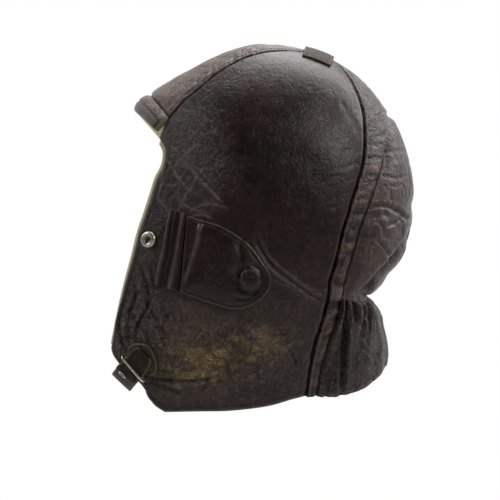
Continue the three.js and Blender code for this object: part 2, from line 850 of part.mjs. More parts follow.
// Chin strap: a flat ribbon along a path, with its width laid along a direction at each spot.
const strapLift = Math.max(patchThickness, wireDiameter) + 2 * fitGap;
const strapRaise = strapLift + strapThickness / 2;
const cheekSpots = [strapTip, slidePlace, strapBend].map((spot) => (
  headPoint(placeAt(spot), panelPuff + strapRaise)
));
const roundSpots = strapRound.map(({ out, back, up }) => (
  new THREE.Vector3(out * helmetWidth / 2, back * helmetDepth, up * helmetHeight)
));
const flip = (v) => new THREE.Vector3(-v.x, v.y, v.z);
const leftSpots = [...cheekSpots, ...roundSpots];
const rightSpots = leftSpots.slice(0, -1).reverse().map(flip);
const strapPath = new THREE.CatmullRomCurve3([...leftSpots, ...rightSpots], false, 'centripetal');
const slideRun = (sign) => headPoint(placeAt({
  back: slidePlace.back + sign * slideAlong.back / 2,
  up: slidePlace.up + sign * slideAlong.up / 2,
}));
const cheekAcross = slideRun(1).sub(slideRun(-1)).normalize();
const chinAcross = new THREE.Vector3(0, cheekAcross.y, cheekAcross.z).normalize();

function strapFrame(share) {
  const centre = strapPath.getPointAt(share);
  const along = strapPath.getTangentAt(share);
  const left = share < 0.5;
  const toChin = THREE.MathUtils.smoothstep(left ? share : 1 - share, strapTurn.from, strapTurn.to);
  const cheek = left ? cheekAcross.clone() : flip(cheekAcross);
  const across = cheek.lerp(chinAcross, toChin).normalize();
  across.addScaledVector(along, -across.dot(along)).normalize();
  return { centre, across, up: across.clone().cross(along).normalize() };
}

function strapCorners() {
  const steps = 36;
  const columns = [-0.5, -0.2, 0.2, 0.5];
  const tip = 0.05;
  const rows = Array.from({ length: steps + 1 }, (_, i) => {
    const share = i / steps;
    const fromEnd = Math.min(share, 1 - share) / tip;
    const round = fromEnd < 1 ? Math.sqrt(1 - (1 - fromEnd) ** 2) : 1;
    return { ...strapFrame(share), width: strapWidth * (strapTipShare + (1 - strapTipShare) * round) };
  });
  const skin = (side) => rows.map(({ centre, across, up, width }) => columns.map((column) => (
    centre.clone().addScaledVector(across, column * width).addScaledVector(up, side * strapThickness / 2)
  )));
  return gridWall(skin(1), skin(-1));
}

// Hole in the strap for the eyelet, cut square through the leather.
const wasm = await Module();
wasm.setup();

function toSolid(geometry) {
  const mesh = new wasm.Mesh({
    numProp: 3,
    vertProperties: new Float32Array(geometry.getAttribute('position').array),
    triVerts: new Uint32Array(geometry.index.array),
  });
  return new wasm.Manifold(mesh);
}

function fromSolid(solid) {
  const mesh = solid.getMesh();
  const geometry = new THREE.BufferGeometry();
  geometry.setAttribute('position', new THREE.BufferAttribute(new Float32Array(mesh.vertProperties), 3));
  geometry.setIndex(Array.from(mesh.triVerts));
  return facingOut(geometry);
}

const eyeletFrame = strapFrame(eyeletShare / 2);
const eyeletFace = Math.sign(eyeletFrame.up.x) || 1;
const eyeletAxis = eyeletFrame.up.clone().multiplyScalar(eyeletFace);
const eyeletCentre = eyeletFrame.centre.clone().addScaledVector(eyeletFrame.across, eyeletOffset * strapWidth);
const barrelRadius = (eyeletRadius + eyeletHole) / 2;
const holeCut = facingOut(new THREE.CylinderGeometry(
  barrelRadius + fitGap / 2,
  barrelRadius + fitGap / 2,
  4 * strapThickness,
  roundSides,
));
holeCut.applyQuaternion(new THREE.Quaternion().setFromUnitVectors(new THREE.Vector3(0, 1, 0), eyeletAxis));
holeCut.translate(...eyeletCentre.toArray());
addPiece('chin_strap', fromSolid(toSolid(body(strapCorners())).subtract(toSolid(holeCut))), trimLook);

const faceHeight = strapThickness / 2 + fitGap;
const eyelet = turned([
  [eyeletHole, -strapThickness / 2],
  [barrelRadius, -strapThickness / 2],
  [barrelRadius, faceHeight],
  [eyeletRadius, faceHeight],
  [eyeletRadius * 0.85, faceHeight + eyeletFlange],
  [eyeletHole, faceHeight + eyeletFlange],
  [eyeletHole, -strapThickness / 2],
], roundSides);
seat(addPiece('strap_eyelet', eyelet, steelLook), eyeletCentre, eyeletAxis);

// Wire slide round the strap, a closed rounded loop.
function closedTube(path, radius, sides) {
  const count = path.length;
  const rings = path.map((point, i) => {
    const along = path[(i + 1) % count].clone().sub(path[(i + count - 1) % count]).normalize();
    const side = slideAcross.clone().cross(slideUp).normalize();
    const up = side.clone().cross(along).normalize();
    return Array.from({ length: sides }, (_, j) => {
      const angle = 2 * Math.PI * j / sides;
      return point.clone().addScaledVector(side, radius * Math.cos(angle))
        .addScaledVector(up, radius * Math.sin(angle));
    });
  });
  const corners = [];
  rings.forEach((ring, i) => {
    const next = rings[(i + 1) % count];
    ring.forEach((_, j) => {
      const k = (j + 1) % sides;
      quad(corners, ring[j], ring[k], next[k], next[j]);
    });
  });
  return corners;
}

const slideShare = nearestShare(headPoint(placeAt(slidePlace), panelPuff + strapRaise));
const slideFrame = strapFrame(slideShare);
const slideAcross = slideFrame.across;
const slideUp = slideFrame.up;

function nearestShare(point) {
  const shares = Array.from({ length: 201 }, (_, i) => i / 400);
  return shares.reduce((best, share) => (
    strapPath.getPointAt(share).distanceTo(point) < strapPath.getPointAt(best).distanceTo(point) ? share : best
  ), 0);
}

function slideLoop() {
  const halfLength = strapWidth / 2 + 2 * fitGap;
  const bend = strapThickness / 2 + fitGap + wireDiameter / 2;
  const endSteps = 6;
  const path = [1, -1].flatMap((end) => Array.from({ length: endSteps + 1 }, (_, i) => {
    const angle = Math.PI * (i / endSteps - 0.5);
    const along = end * (halfLength + bend * Math.cos(angle));
    return slideFrame.centre.clone().addScaledVector(slideAcross, along)
      .addScaledVector(slideUp, end * bend * Math.sin(angle));
  }));
  return closedTube(path, wireDiameter / 2, 8);
}
addPiece('strap_slide', body(slideLoop()), steelLook);

// Lining, cut like the leather, showing a little along the face.
const liningDrop = leatherWall + liningGap;
const liningInset = { face: -liningReveal, seam: seamGap / 2, neck: liningHem };

// The lining hangs a little further in where the nape is drawn in.
function liningSag(place) {
  return -outlineValue('pinch', place.turn) * liningSagMost;
}

function sideLining() {
  const rings = ringPlaces(sideBoundary(liningSteps, liningInset, liningRow), [0.4, 0.75, 1]);
  const [outer, inner] = wallGrids(rings, liningSag, liningWall, liningDrop);
  const middle = { turn: 0, climb: 0 };
  return ringWall(
    { middle: headPoint(middle, -liningDrop), rings: outer },
    { middle: headPoint(middle, -liningDrop - liningWall), rings: inner },
  );
}
const liningSide = sideLining();
addPiece('lining_left', body(liningSide), liningLook);
addPiece('lining_right', body(mirrored(liningSide)), liningLook);

function middleLining() {
  const crestOfCrown = (i) => browCrest + (backCrest - browCrest) * i / crownSteps;
  const sections = [
    { side: placesAlong(browSide, 1)[0], crest: browLow.crest },
    ...crownSeamLine.map((side, i) => ({ side, crest: crestOfCrown(i) })).filter((_, i) => liningRow(i)),
    ...backSeamLine.map((side, i) => ({ side, crest: backSections[i].crest }))
      .filter((_, i) => i > 0 && liningRow(i)),
  ];
  const sides = beside(sections.map(({ side }) => side), seamGap / 2);
  const crests = sections.map(({ crest }) => crest);
  const rows = crossingRows(sides, crests, 7);
  const last = rows.length - 1;
  rows[last] = onMiddle(beside(rows[last], liningHem));
  return gridWall(...wallGrids(rows, liningSag, liningWall, liningDrop), true);
}
addPiece('lining_middle', bothHalves(middleLining()), liningLook);

// The seat on the head, inside the top of the crown, is the origin.
const crownSeat = headPoint({ turn: 90, climb: 90 }, -liningDrop - liningWall);
helmet.position.copy(crownSeat).negate();

export default helmet;
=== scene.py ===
import bpy
import numpy as np
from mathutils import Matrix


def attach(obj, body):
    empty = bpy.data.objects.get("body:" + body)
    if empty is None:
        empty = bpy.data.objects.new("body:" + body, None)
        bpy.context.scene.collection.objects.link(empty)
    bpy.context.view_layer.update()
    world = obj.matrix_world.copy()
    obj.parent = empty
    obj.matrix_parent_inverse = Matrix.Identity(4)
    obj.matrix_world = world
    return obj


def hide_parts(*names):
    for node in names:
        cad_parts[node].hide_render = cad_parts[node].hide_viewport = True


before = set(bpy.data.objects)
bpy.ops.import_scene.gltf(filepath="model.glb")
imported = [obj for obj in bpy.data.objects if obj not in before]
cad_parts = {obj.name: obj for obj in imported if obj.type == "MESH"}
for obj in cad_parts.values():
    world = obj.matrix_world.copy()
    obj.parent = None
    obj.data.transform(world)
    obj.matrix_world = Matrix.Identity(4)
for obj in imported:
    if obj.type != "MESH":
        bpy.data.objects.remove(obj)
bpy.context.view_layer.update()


# Studio: a plain white room with a soft box overhead, a weaker one behind, and two small ones to the
# front and to the side, which catch the creases. The camera looks squarely at the helmet's left side.
view_width = 0.390
camera_distance = 2.6
aim = (0.0, 0.0030, -0.1530)

camera = bpy.data.objects.new("camera", bpy.data.cameras.new("camera"))
camera.data.sensor_width = 36
camera.data.lens = 36 * camera_distance / view_width
camera.location = (camera_distance, aim[1], aim[2])
camera.rotation_euler = (np.pi / 2, 0, np.pi / 2)
bpy.context.collection.objects.link(camera)
bpy.context.scene.camera = camera


def soft_box(name, place, towards, size, power):
    """Square area light at a place, turned to face a point."""
    light = bpy.data.objects.new(name, bpy.data.lights.new(name, "AREA"))
    light.data.size = size
    light.data.energy = power
    light.location = place
    sight = np.array(towards) - np.array(place)
    sight = sight / np.linalg.norm(sight)
    light.rotation_euler = (np.arccos(-sight[2]), 0, np.arctan2(sight[1], sight[0]) - np.pi / 2)
    bpy.context.collection.objects.link(light)


soft_box("light_above", (-0.35, 0.25, 1.05), (0, 0, -0.1), 1.1, 19)
soft_box("light_behind", (-0.25, 1.00, 0.55), (0, 0.05, -0.1), 0.6, 7)
soft_box("light_front", (0.30, -1.05, 0.60), (0, -0.05, -0.08), 0.5, 6)
soft_box("light_side", (0.92, 0.98, 0.66), (0, 0.03, -0.15), 0.36, 5.5)

room = bpy.data.worlds.new("room")
room.use_nodes = True
bpy.context.scene.world = room


def node(tree, kind, settings=None, links=None):
    """Adds a node, sets its properties and socket values, and links its inputs from other sockets."""
    made = tree.nodes.new(kind)
    for key, value in (settings or {}).items():
        if isinstance(key, int) or key in made.inputs:
            made.inputs[key].default_value = value
        else:
            setattr(made, key, value)
    for key, source in (links or {}).items():
        tree.links.new(source, made.inputs[key])
    return made


rays = node(room.node_tree, "ShaderNodeLightPath")
seen = room.node_tree.nodes["Background"]
seen.inputs["Color"].default_value = (1, 1, 1, 1)
# The room is dim on the camera's side and bright behind the helmet, where the white sweep stands.
direction = node(room.node_tree, "ShaderNodeTexCoord").outputs["Generated"]
sweep = node(room.node_tree, "ShaderNodeSeparateXYZ", None, {0: direction})
brightness = node(room.node_tree, "ShaderNodeMapRange", {
    "From Min": 0.25, "From Max": -1.0, "To Min": 0.04, "To Max": 1.15}, {0: sweep.outputs["X"]})
lit = node(room.node_tree, "ShaderNodeBackground", {"Color": (0.84, 0.85, 0.88, 1)}, {
    1: brightness.outputs[0]})
both = node(room.node_tree, "ShaderNodeMixShader", None, {
    0: rays.outputs["Is Camera Ray"], 1: lit.outputs[0], 2: seen.outputs[0]})
room.node_tree.links.new(both.outputs[0], room.node_tree.nodes["World Output"].inputs[0])
bpy.context.scene.view_settings.view_transform = "Standard"

def material(name):
    """New material, with its node tree, its surface shader and the object coordinates."""
    finish = bpy.data.materials.new(name)
    finish.use_nodes = True
    tree = finish.node_tree
    return finish, tree, tree.nodes["Principled BSDF"], node(tree, "ShaderNodeTexCoord").outputs["Object"]


# The floor is painted white, and fades to the white of the room around it as a sweep does.
floor_level, floor_back, floor_front, floor_side = -0.405, -0.7, 5, 3
floor_mesh = bpy.data.meshes.new("floor")
floor_mesh.from_pydata(
    [(floor_back, -floor_side, floor_level), (floor_front, -floor_side, floor_level),
     (floor_front, floor_side, floor_level), (floor_back, floor_side, floor_level)], [], [(0, 1, 2, 3)])
floor = bpy.data.objects.new("floor", floor_mesh)
bpy.context.collection.objects.link(floor)
paint, tree, painted, where = material("white_paint")
painted.inputs["Base Color"].default_value = (0.42, 0.42, 0.41, 1)
painted.inputs["Roughness"].default_value = 0.8
far = node(tree, "ShaderNodeVectorMath", {"operation": "LENGTH"}, {0: where})
fade = node(tree, "ShaderNodeMapRange", {
    "From Min": 0.30, "From Max": 0.70, "To Min": 0.45, "To Max": 1.0, "interpolation_type": "SMOOTHSTEP"}, {
    0: far.outputs["Value"]})
seen_far = node(tree, "ShaderNodeMath", {"operation": "MULTIPLY"}, {
    0: fade.outputs[0], 1: node(tree, "ShaderNodeLightPath").outputs["Is Camera Ray"]})
faded = node(tree, "ShaderNodeMixShader", None, {
    0: seen_far.outputs[0], 1: painted.outputs[0], 2: node(tree, "ShaderNodeEmission").outputs[0]})
tree.links.new(faded.outputs[0], tree.nodes["Material Output"].inputs[0])
floor_mesh.materials.append(paint)


# Side panels: one large piece of supple sheep leather on each side, from the crown seam down over the
# ear and cheek to a folded and stitched hem. It is puffed over the lining and rolls into the seams.
helmet_depth, helmet_height, helmet_width = 234.0, 285.0, 172.0
crest_power, side_power, pinch_power, aside_power = 2.5, 2.2, 4, 4
leather_wall = 1.6
lining_wall = 1.6
lining_drop = leather_wall + 0.9
chart_step = 0.78
panel_puff = 1.5
puff_roll = 7.0
crown_end_width = 28.0

# turn, reach and pinch of the head form, once round its middle line.
outline_rows = np.array([
    [134, 0.530, 0], [127, 0.528, 0], [118, 0.521, 0], [109, 0.523, 0], [98, 0.537, 0], [86, 0.557, 0],
    [72, 0.574, 0], [60, 0.591, 0], [48, 0.600, 0], [36, 0.597, 0], [24, 0.583, 0], [14, 0.564, 0],
    [6, 0.542, 0.004], [0, 0.534, 0.035], [-6, 0.531, 0.095], [-12, 0.530, 0.170], [-16, 0.530, 0.240],
    [-17.4, 0.530, 0.252], [-18.8, 0.532, 0.205], [-21, 0.535, 0.130], [-25, 0.541, 0.068],
    [-30, 0.552, 0.012], [-35, 0.569, 0], [-42, 0.581, 0], [-51, 0.581, 0], [-63, 0.573, 0],
    [-80, 0.565, 0], [-95, 0.566, 0], [-110, 0.585, 0], [-121, 0.600, 0], [-132, 0.592, 0],
    [-143, 0.577, 0], [-151, 0.566, 0], [-162, 0.527, 0], [-175, 0.505, 0], [-190, 0.500, 0],
    [-205, 0.503, 0], [-217, 0.513, 0]])
crown_seam = np.array([
    [-0.247, 0.353], [-0.200, 0.399], [-0.150, 0.433], [-0.100, 0.468], [-0.050, 0.496],
    [0.000, 0.517], [0.050, 0.530], [0.117, 0.538], [0.183, 0.537], [0.253, 0.528]])
brow_side = np.array([[-0.280, 0.301], [-0.267, 0.326], [-0.247, 0.353]])
face_edge = np.array([
    [-0.280, 0.301], [-0.261, 0.270], [-0.267, 0.225], [-0.287, 0.192], [-0.303, 0.151],
    [-0.323, 0.101], [-0.343, 0.055], [-0.370, -0.027], [-0.397, -0.104], [-0.420, -0.178],
    [-0.440, -0.260]])
jaw_edge = np.array([
    [-0.440, -0.260], [-0.435, -0.280], [-0.410, -0.310], [-0.360, -0.348], [-0.337, -0.366],
    [-0.317, -0.398], [-0.293, -0.421], [-0.263, -0.437]])
neck_edge = np.array([
    [-0.263, -0.437], [-0.150, -0.434], [-0.050, -0.432], [0.083, -0.418], [0.150, -0.402],
    [0.198, -0.392]])
# seam back and up, edge back and up, and the turn on the middle line, of each section down the back.
back_rows = np.array([
    [0.253, 0.528, 0.272, 0.527, 62.7], [0.307, 0.511, 0.325, 0.514, 57.5],
    [0.333, 0.479, 0.374, 0.484, 52], [0.360, 0.438, 0.414, 0.446, 47],
    [0.380, 0.392, 0.450, 0.411, 42.5], [0.388, 0.364, 0.469, 0.384, 39.3],
    [0.390, 0.337, 0.467, 0.359, 38.6], [0.390, 0.307, 0.463, 0.315, 33],
    [0.389, 0.268, 0.458, 0.268, 27], [0.380, 0.219, 0.445, 0.219, 20.5],
    [0.363, 0.173, 0.427, 0.173, 15], [0.343, 0.121, 0.405, 0.123, 9.5],
    [0.320, 0.058, 0.378, 0.066, 4], [0.302, -0.005, 0.355, 0.000, -1.5],
    [0.283, -0.060, 0.333, -0.055, -7.5], [0.273, -0.099, 0.320, -0.099, -13],
    [0.268, -0.134, 0.313, -0.129, -17.4], [0.258, -0.164, 0.305, -0.162, -19.8],
    [0.242, -0.211, 0.287, -0.208, -23], [0.225, -0.260, 0.267, -0.258, -26.5],
    [0.210, -0.323, 0.247, -0.322, -30], [0.198, -0.392, 0.232, -0.390, -33.2]])
notch_row, waist_row, last_row = 5, 16, 21


def hermite(first, last, first_slope, last_slope, s):
    """Cubic from one value to another, with a slope at each, read at a share s of the way."""
    return (first * (1 + 2 * s) * (1 - s) ** 2 + first_slope * s * (1 - s) ** 2
            + last * s * s * (3 - 2 * s) + last_slope * s * s * (s - 1))


def outline_value(column, turn):
    """Value of an outline column at each turn: a cubic Hermite curve through the closed loop of rows,
    whose slope at a row is the mean of its two neighbours' slopes, weighted by their spacing."""
    start = outline_rows[0, 0]
    knots = start - outline_rows[:, 0]
    knots = np.concatenate([knots[-2:] - 360, knots, knots[:3] + 360])
    values = outline_rows[:, column]
    values = np.concatenate([values[-2:], values, values[:3]])
    along = (start - np.asarray(turn, float)) % 360
    i = np.searchsorted(knots, along, side="right") - 1
    k0, k1, k2, k3 = (knots[i + n] for n in (-1, 0, 1, 2))
    v0, v1, v2, v3 = (values[i + n] for n in (-1, 0, 1, 2))
    span = k2 - k1
    s = (along - k1) / span
    before, across, after = (v1 - v0) / (k1 - k0), (v2 - v1) / span, (v3 - v2) / (k3 - k2)
    m1 = (before * span + across * (k1 - k0)) / (k2 - k0) * span
    m2 = (across * (k3 - k2) + after * span) / (k3 - k1) * span
    return hermite(v1, v2, m1, m2, s)


def reach_at(turn, out):
    """Share of the depth and height reached in a direction: out x reach x (1 - pinch x out^4)."""
    return out * outline_value(1, turn) * (1 - outline_value(2, turn) * out ** pinch_power)


def form_point(place):
    """Point of the head form: x is the half width times cos(climb)^(2/2.2); y and z are the reach at
    out = sin(climb)^(2/2.5), turned by turn and scaled by the depth and the height."""
    turn, climb = np.moveaxis(np.radians(place), -1, 0)
    side = np.cos(climb)
    out = np.clip(np.sin(climb), 0, 1) ** (2 / crest_power)
    reach = reach_at(np.degrees(turn), out)
    return np.stack([
        np.sign(side) * np.abs(side) ** (2 / side_power) * helmet_width / 2,
        reach * np.cos(turn) * helmet_depth,
        reach * np.sin(turn) * helmet_height], axis=-1)


def unit(vectors):
    """Vectors divided by their length."""
    return vectors / np.maximum(np.linalg.norm(vectors, axis=-1, keepdims=True), 1e-9)


def form_runs(place):
    """Run of the head form per degree of turn and per degree of climb, by central differences."""
    step = 0.25
    by_turn, by_climb = np.array([step, 0.0]), np.array([0.0, step])
    return ((form_point(place + by_turn) - form_point(place - by_turn)) / (2 * step),
            (form_point(place + by_climb) - form_point(place - by_climb)) / (2 * step))


def outward(place):
    """Unit vector square to the head form: run of climb x run of turn, and sideways at the ear."""
    place = np.asarray(place, float)
    turn_run, climb_run = form_runs(place)
    square = unit(np.cross(climb_run, turn_run))
    flat = np.stack([np.where(place[..., 1] < 90, 1.0, -1.0), *np.zeros((2,) + place.shape[:-1])], -1)
    return np.where((np.sin(np.radians(place[..., 1])) < 0.035)[..., None], flat, square)


def head_point(place, rise=0.0):
    """Point on the head form, raised along the outward direction."""
    place = np.asarray(place, float)
    return form_point(place) + outward(place) * np.asarray(rise, float)[..., None]


def place_behind(spots):
    """Place on the left half that lies behind side-view shares (back, up), found by halving."""
    spots = np.asarray(spots, float)
    turn = np.degrees(np.arctan2(spots[..., 1], spots[..., 0]))
    wanted = np.hypot(spots[..., 0], spots[..., 1])
    low, high = np.zeros_like(wanted), np.ones_like(wanted)
    for _ in range(40):
        middle = (low + high) / 2
        under = reach_at(turn, middle) < wanted
        low, high = np.where(under, middle, low), np.where(under, high, middle)
    return np.stack([turn, np.degrees(np.arcsin(np.minimum(low, 1) ** (crest_power / 2)))], -1)


def climb_aside(distance):
    """Climb that lies a distance to the side of the middle line."""
    return np.degrees(np.arccos((2 * np.asarray(distance) / helmet_width) ** (side_power / 2)))


def aside_place(spots, aside):
    """Place behind side-view shares, eased away from the middle line: (x^4 + aside^4)^(1/4)."""
    place = place_behind(spots)
    x = form_point(place)[..., 0]
    place[..., 1] = climb_aside((x ** aside_power + aside ** aside_power) ** (1 / aside_power))
    return place


def smooth_line(points, count):
    """Evenly spaced points on a centripetal Catmull-Rom curve through a table of points."""
    points = np.asarray(points, float)
    points = np.concatenate([[2 * points[0] - points[1]], points, [2 * points[-1] - points[-2]]])
    gaps = np.maximum(np.linalg.norm(np.diff(points, axis=0), axis=1), 1e-9) ** 0.5
    fine = []
    share = np.linspace(0, 1, 24, endpoint=False)[:, None]
    for i in range(1, len(points) - 2):
        p0, p1, p2, p3 = points[i - 1:i + 3]
        d0, d1, d2 = gaps[i - 1:i + 2]
        m1 = ((p1 - p0) / d0 - (p2 - p0) / (d0 + d1) + (p2 - p1) / d1) * d1
        m2 = ((p2 - p1) / d1 - (p3 - p1) / (d1 + d2) + (p3 - p2) / d2) * d1
        fine.append(hermite(p1, p2, m1, m2, share))
    fine = np.concatenate(fine + [points[-2:-1]])
    return evenly(fine, count)


def run_length(points):
    """Length of a polyline from its start to each of its points."""
    return np.concatenate([[0], np.cumsum(np.linalg.norm(np.diff(points, axis=0), axis=1))])


def read_at(wanted, length, table):
    """Rows of a table, given along a length, read at other lengths."""
    return np.stack([np.interp(wanted, length, column) for column in table.T], -1)


def evenly(points, count):
    """Points of a polyline at even steps of its length."""
    length = run_length(points)
    return read_at(np.linspace(0, length[-1], count), length, points)


def places_along(rows, count, aside=0.0):
    """Places behind an evenly spaced smooth line through side-view shares."""
    size = np.array([helmet_depth, helmet_height])
    return aside_place(smooth_line(rows * size, count) / size, aside)


def through_rows(values, at):
    """Catmull-Rom curve through values given at whole numbers, read at fractional ones."""
    values = np.asarray(values, float)
    values = np.concatenate([[2 * values[0] - values[1]], values, [2 * values[-1] - values[-2]]])
    i = np.clip(np.floor(at).astype(int), 0, len(values) - 4)
    s = (at - i).reshape(at.shape + (1,) * (values.ndim - 1))
    v0, v1, v2, v3 = (values[i + n] for n in range(4))
    return hermite(v1, v2, (v2 - v0) / 2, (v3 - v1) / 2, s)


def beside(line, distance):
    """Line of places moved to its left over the form by a distance, seen from outside as it runs."""
    points = form_point(line)
    run = np.gradient(points, axis=0)
    across = unit(np.cross(outward(line), run)) * distance
    turn_run, climb_run = form_runs(line)
    tt, cc, tc = (np.sum(a * b, -1) for a, b in (
        (turn_run, turn_run), (climb_run, climb_run), (turn_run, climb_run)))
    t, c = np.sum(turn_run * across, -1), np.sum(climb_run * across, -1)
    whole = tt * cc - tc * tc
    return line + np.stack([(t * cc - c * tc) / whole, (c * tt - t * tc) / whole], -1)


def lattice(cells, seed):
    """Repeatable number from -1 to 1 for each whole-number cell, by multiplying and mixing its bits."""
    mixed = (cells[..., 0] * 73856093) ^ (cells[..., 1] * 19349663) ^ (cells[..., 2] * 83492791)
    mixed = (mixed + seed * 2654435761) & 0xFFFFFFFF
    mixed = ((mixed ^ (mixed >> 15)) * 2246822519) & 0xFFFFFFFF
    mixed = ((mixed ^ (mixed >> 13)) * 3266489917) & 0xFFFFFFFF
    return (mixed ^ (mixed >> 16)) / 0x7FFFFFFF - 1.0


def eased(s):
    """Share from 0 to 1 that starts and ends softly: s^2 (3 - 2s)."""
    return s * s * (3 - 2 * s)


def bell(distance, breadth, at=0.0):
    """1 at one distance and 0 away from it: exp(-((d - at) / breadth)^2)."""
    return np.exp(-((distance - at) / breadth) ** 2)


def roll_off(distance, breadth):
    """0 on a seam and 1 well inside: 1 - exp(-(d / breadth)^2)."""
    return 1 - bell(distance, breadth)


def lumps(points, size, seed):
    """Smooth random field from -1 to 1 whose lumps are one size across: lattice numbers blended by
    eased shares along each axis. It is moved by 500 cells, away from the origin."""
    scaled = np.asarray(points, float) / size + 500.0
    cell = np.floor(scaled).astype(np.int64)
    s = eased(scaled - cell)
    total = np.zeros(s.shape[:-1])
    for dx in (0, 1):
        for dy in (0, 1):
            for dz in (0, 1):
                weight = (np.abs(1 - dx - s[..., 0]) * np.abs(1 - dy - s[..., 1])
                          * np.abs(1 - dz - s[..., 2]))
                total += weight * lattice(cell + np.array([dx, dy, dz]), seed)
    return total


def furrows(points, size, sharpness, seed):
    """Thin meandering lines, 1 on a line and 0 away from it: exp(-(field / sharpness)^2)."""
    bent = points + 0.35 * size * np.stack([lumps(points, size * 0.7, seed + n) for n in (5, 6, 7)], -1)
    return bell(lumps(bent, size, seed), sharpness)


def nearest_on(spots, path):
    """Distance from each side-view spot to a polyline, and how far along it the nearest point is."""
    starts = run_length(path)
    best = np.full(spots.shape[:-1], 1e9)
    along = np.zeros_like(best)
    for a, b, start, length in zip(path[:-1], path[1:], starts, np.diff(starts)):
        share = np.clip(((spots - a) @ (b - a)) / length ** 2, 0, 1)
        distance = np.linalg.norm(spots - a - share[..., None] * (b - a), axis=-1)
        closer = distance < best
        best = np.where(closer, distance, best)
        along = np.where(closer, (start + share * length) / starts[-1], along)
    return best, along


# The right half creases a little lower, further forward and less deeply than the left.
right_moved, right_depth = (7.0, -9.0), 0.45
fold_end, lip_height, lip_away = 0.22, 0.33, 2.1


def folds(points, table):
    """Hollow and lip of each crease over a surface, seen from the side. Across a crease the hollow is
    depth x exp(-(d / breadth)^2), with a lip of a third of it two breadths off, fading at both ends."""
    right = points[..., :1] < 0
    spots = points[..., 1:] / chart_step + np.where(right, right_moved, 0.0)
    soft = np.where(right[..., 0], right_depth, 1.0)
    hollow, lip = np.zeros(points.shape[:-1]), np.zeros(points.shape[:-1])
    for path, depth, breadth in table:
        distance, along = nearest_on(spots, smooth_line(path, 14))
        distance = distance * chart_step
        fade = eased(np.clip(np.minimum(along, 1 - along) / fold_end + 0.05, 0, 1))
        hollow += depth * soft * fade * bell(distance, breadth)
        lip += lip_height * depth * soft * fade * bell(distance, breadth, lip_away * breadth)
    return hollow, lip


def patch_of(points, centre, reach):
    """Soft oval area on the side chart, 1 at its centre: exp(-(a / ra)^2 - (b / rb)^2)."""
    spots = points[..., 1:] / chart_step
    return np.exp(-(((spots - np.array(centre)) / np.array(reach)) ** 2).sum(-1))


# Creases of the side panel as side charts, then depth and breadth in millimetres. Below them are
# hairline scratches, which stand up as fine pale lines.
side_scratches = [
    ([(-74, 104), (-58, 88), (-38, 62), (-20, 44)], 0.40, 0.8),
    ([(-36, 84), (-46, 70), (-60, 46), (-70, 26)], 0.30, 0.8),
    ([(-76, 90), (-66, 72), (-54, 58)], 0.30, 0.8),
    ([(-44, 104), (-58, 92), (-70, 78)], 0.26, 0.8),
    ([(-82, 66), (-70, 62), (-56, 66)], 0.24, 0.8),
    ([(-86, 52), (-76, 40), (-70, 28)], 0.32, 0.8),
    ([(-78, 84), (-80, 66), (-84, 50)], 0.30, 0.8),
    ([(-54, 38), (-36, 44), (-14, 40)], 0.16, 0.8),
    ([(-60, 26), (-44, 34), (-30, 30)], 0.22, 0.8),
    ([(-66, 50), (-52, 40), (-36, 36)], 0.22, 0.8),
    ([(-70, -104), (-52, -92), (-38, -76)], 0.24, 0.8),
    ([(-60, -118), (-30, -108), (0, -86), (24, -70)], 0.34, 0.8),
    ([(-50, -124), (-16, -116), (16, -98), (40, -78)], 0.30, 0.8),
    ([(2, -126), (26, -110), (50, -86)], 0.20, 0.8),
]
side_creases = [
    ([(8, 20), (13, 7), (23, -12), (38, -25), (52, -36), (65, -44), (79, -52)], 1.3, 1.4),
    ([(20, -22), (35, -30), (48, -38), (60, -47)], 0.4, 1.1),
    ([(-96, -124), (-80, -126), (-55, -127), (-22, -122)], 0.9, 1.5),
    ([(-94, -128), (-80, -132), (-58, -141)], 0.7, 1.3),
    ([(-104, -134), (-92, -142), (-76, -152)], 0.6, 1.1),
    ([(-113, -102), (-120, -88), (-122, -70), (-116, -46)], 0.9, 1.3),
    ([(-111, -100), (-114, -84), (-112, -64), (-104, -38)], 0.8, 1.2),
    ([(-104, -98), (-106, -80), (-98, -62), (-86, -40)], 0.9, 1.1),
    ([(-92, -92), (-98, -78), (-110, -62), (-118, -54)], 0.5, 1.1),
    ([(-82, -88), (-84, -74), (-96, -50), (-106, -38)], 0.6, 1.1),
    ([(-74, -100), (-80, -84), (-76, -66), (-64, -56)], 0.6, 1.1),
    ([(-102, -14), (-97, -28), (-93, -42), (-95, -60)], 0.9, 1.2),
    ([(-92, -12), (-89, -24), (-87, -40)], 0.8, 1.1),
    ([(-108, -30), (-106, -44), (-108, -58)], 0.7, 1.1),
    ([(-84, -50), (-76, -62), (-70, -76)], 0.6, 1.2),
    ([(-66, -48), (-62, -60), (-60, -74)], 0.5, 1.1),
    ([(-92, -116), (-70, -118), (-36, -112)], 0.4, 1.2),
    ([(-72, 103), (-60, 90), (-48, 76), (-34, 62)], 0.5, 1.2),
    ([(-50, 80), (-62, 64), (-74, 50), (-80, 38)], 0.5, 1.1),
    ([(-66, 96), (-70, 78), (-78, 58), (-84, 44)], 0.4, 1.0),
    ([(-30, 76), (-44, 60), (-58, 50), (-72, 46)], 0.35, 0.9),
    ([(92, 146), (98, 136), (106, 122), (112, 108)], 0.25, 2.0),
    ([(82, 98), (94, 96), (106, 97)], 0.2, 1.4),
    ([(86, 78), (96, 80), (106, 84)], 0.2, 1.3),
    ([(70, 62), (84, 70), (98, 73)], 0.15, 1.4),
    ([(62, 34), (76, 40), (92, 42)], 0.15, 1.3),
    ([(60, -66), (68, -80), (66, -98), (58, -112)], 0.45, 1.2),
    ([(-6, -70), (-20, -84), (-44, -92)], 0.35, 1.0),
    ([(30, -88), (44, -98), (52, -118)], 0.35, 1.0),
]


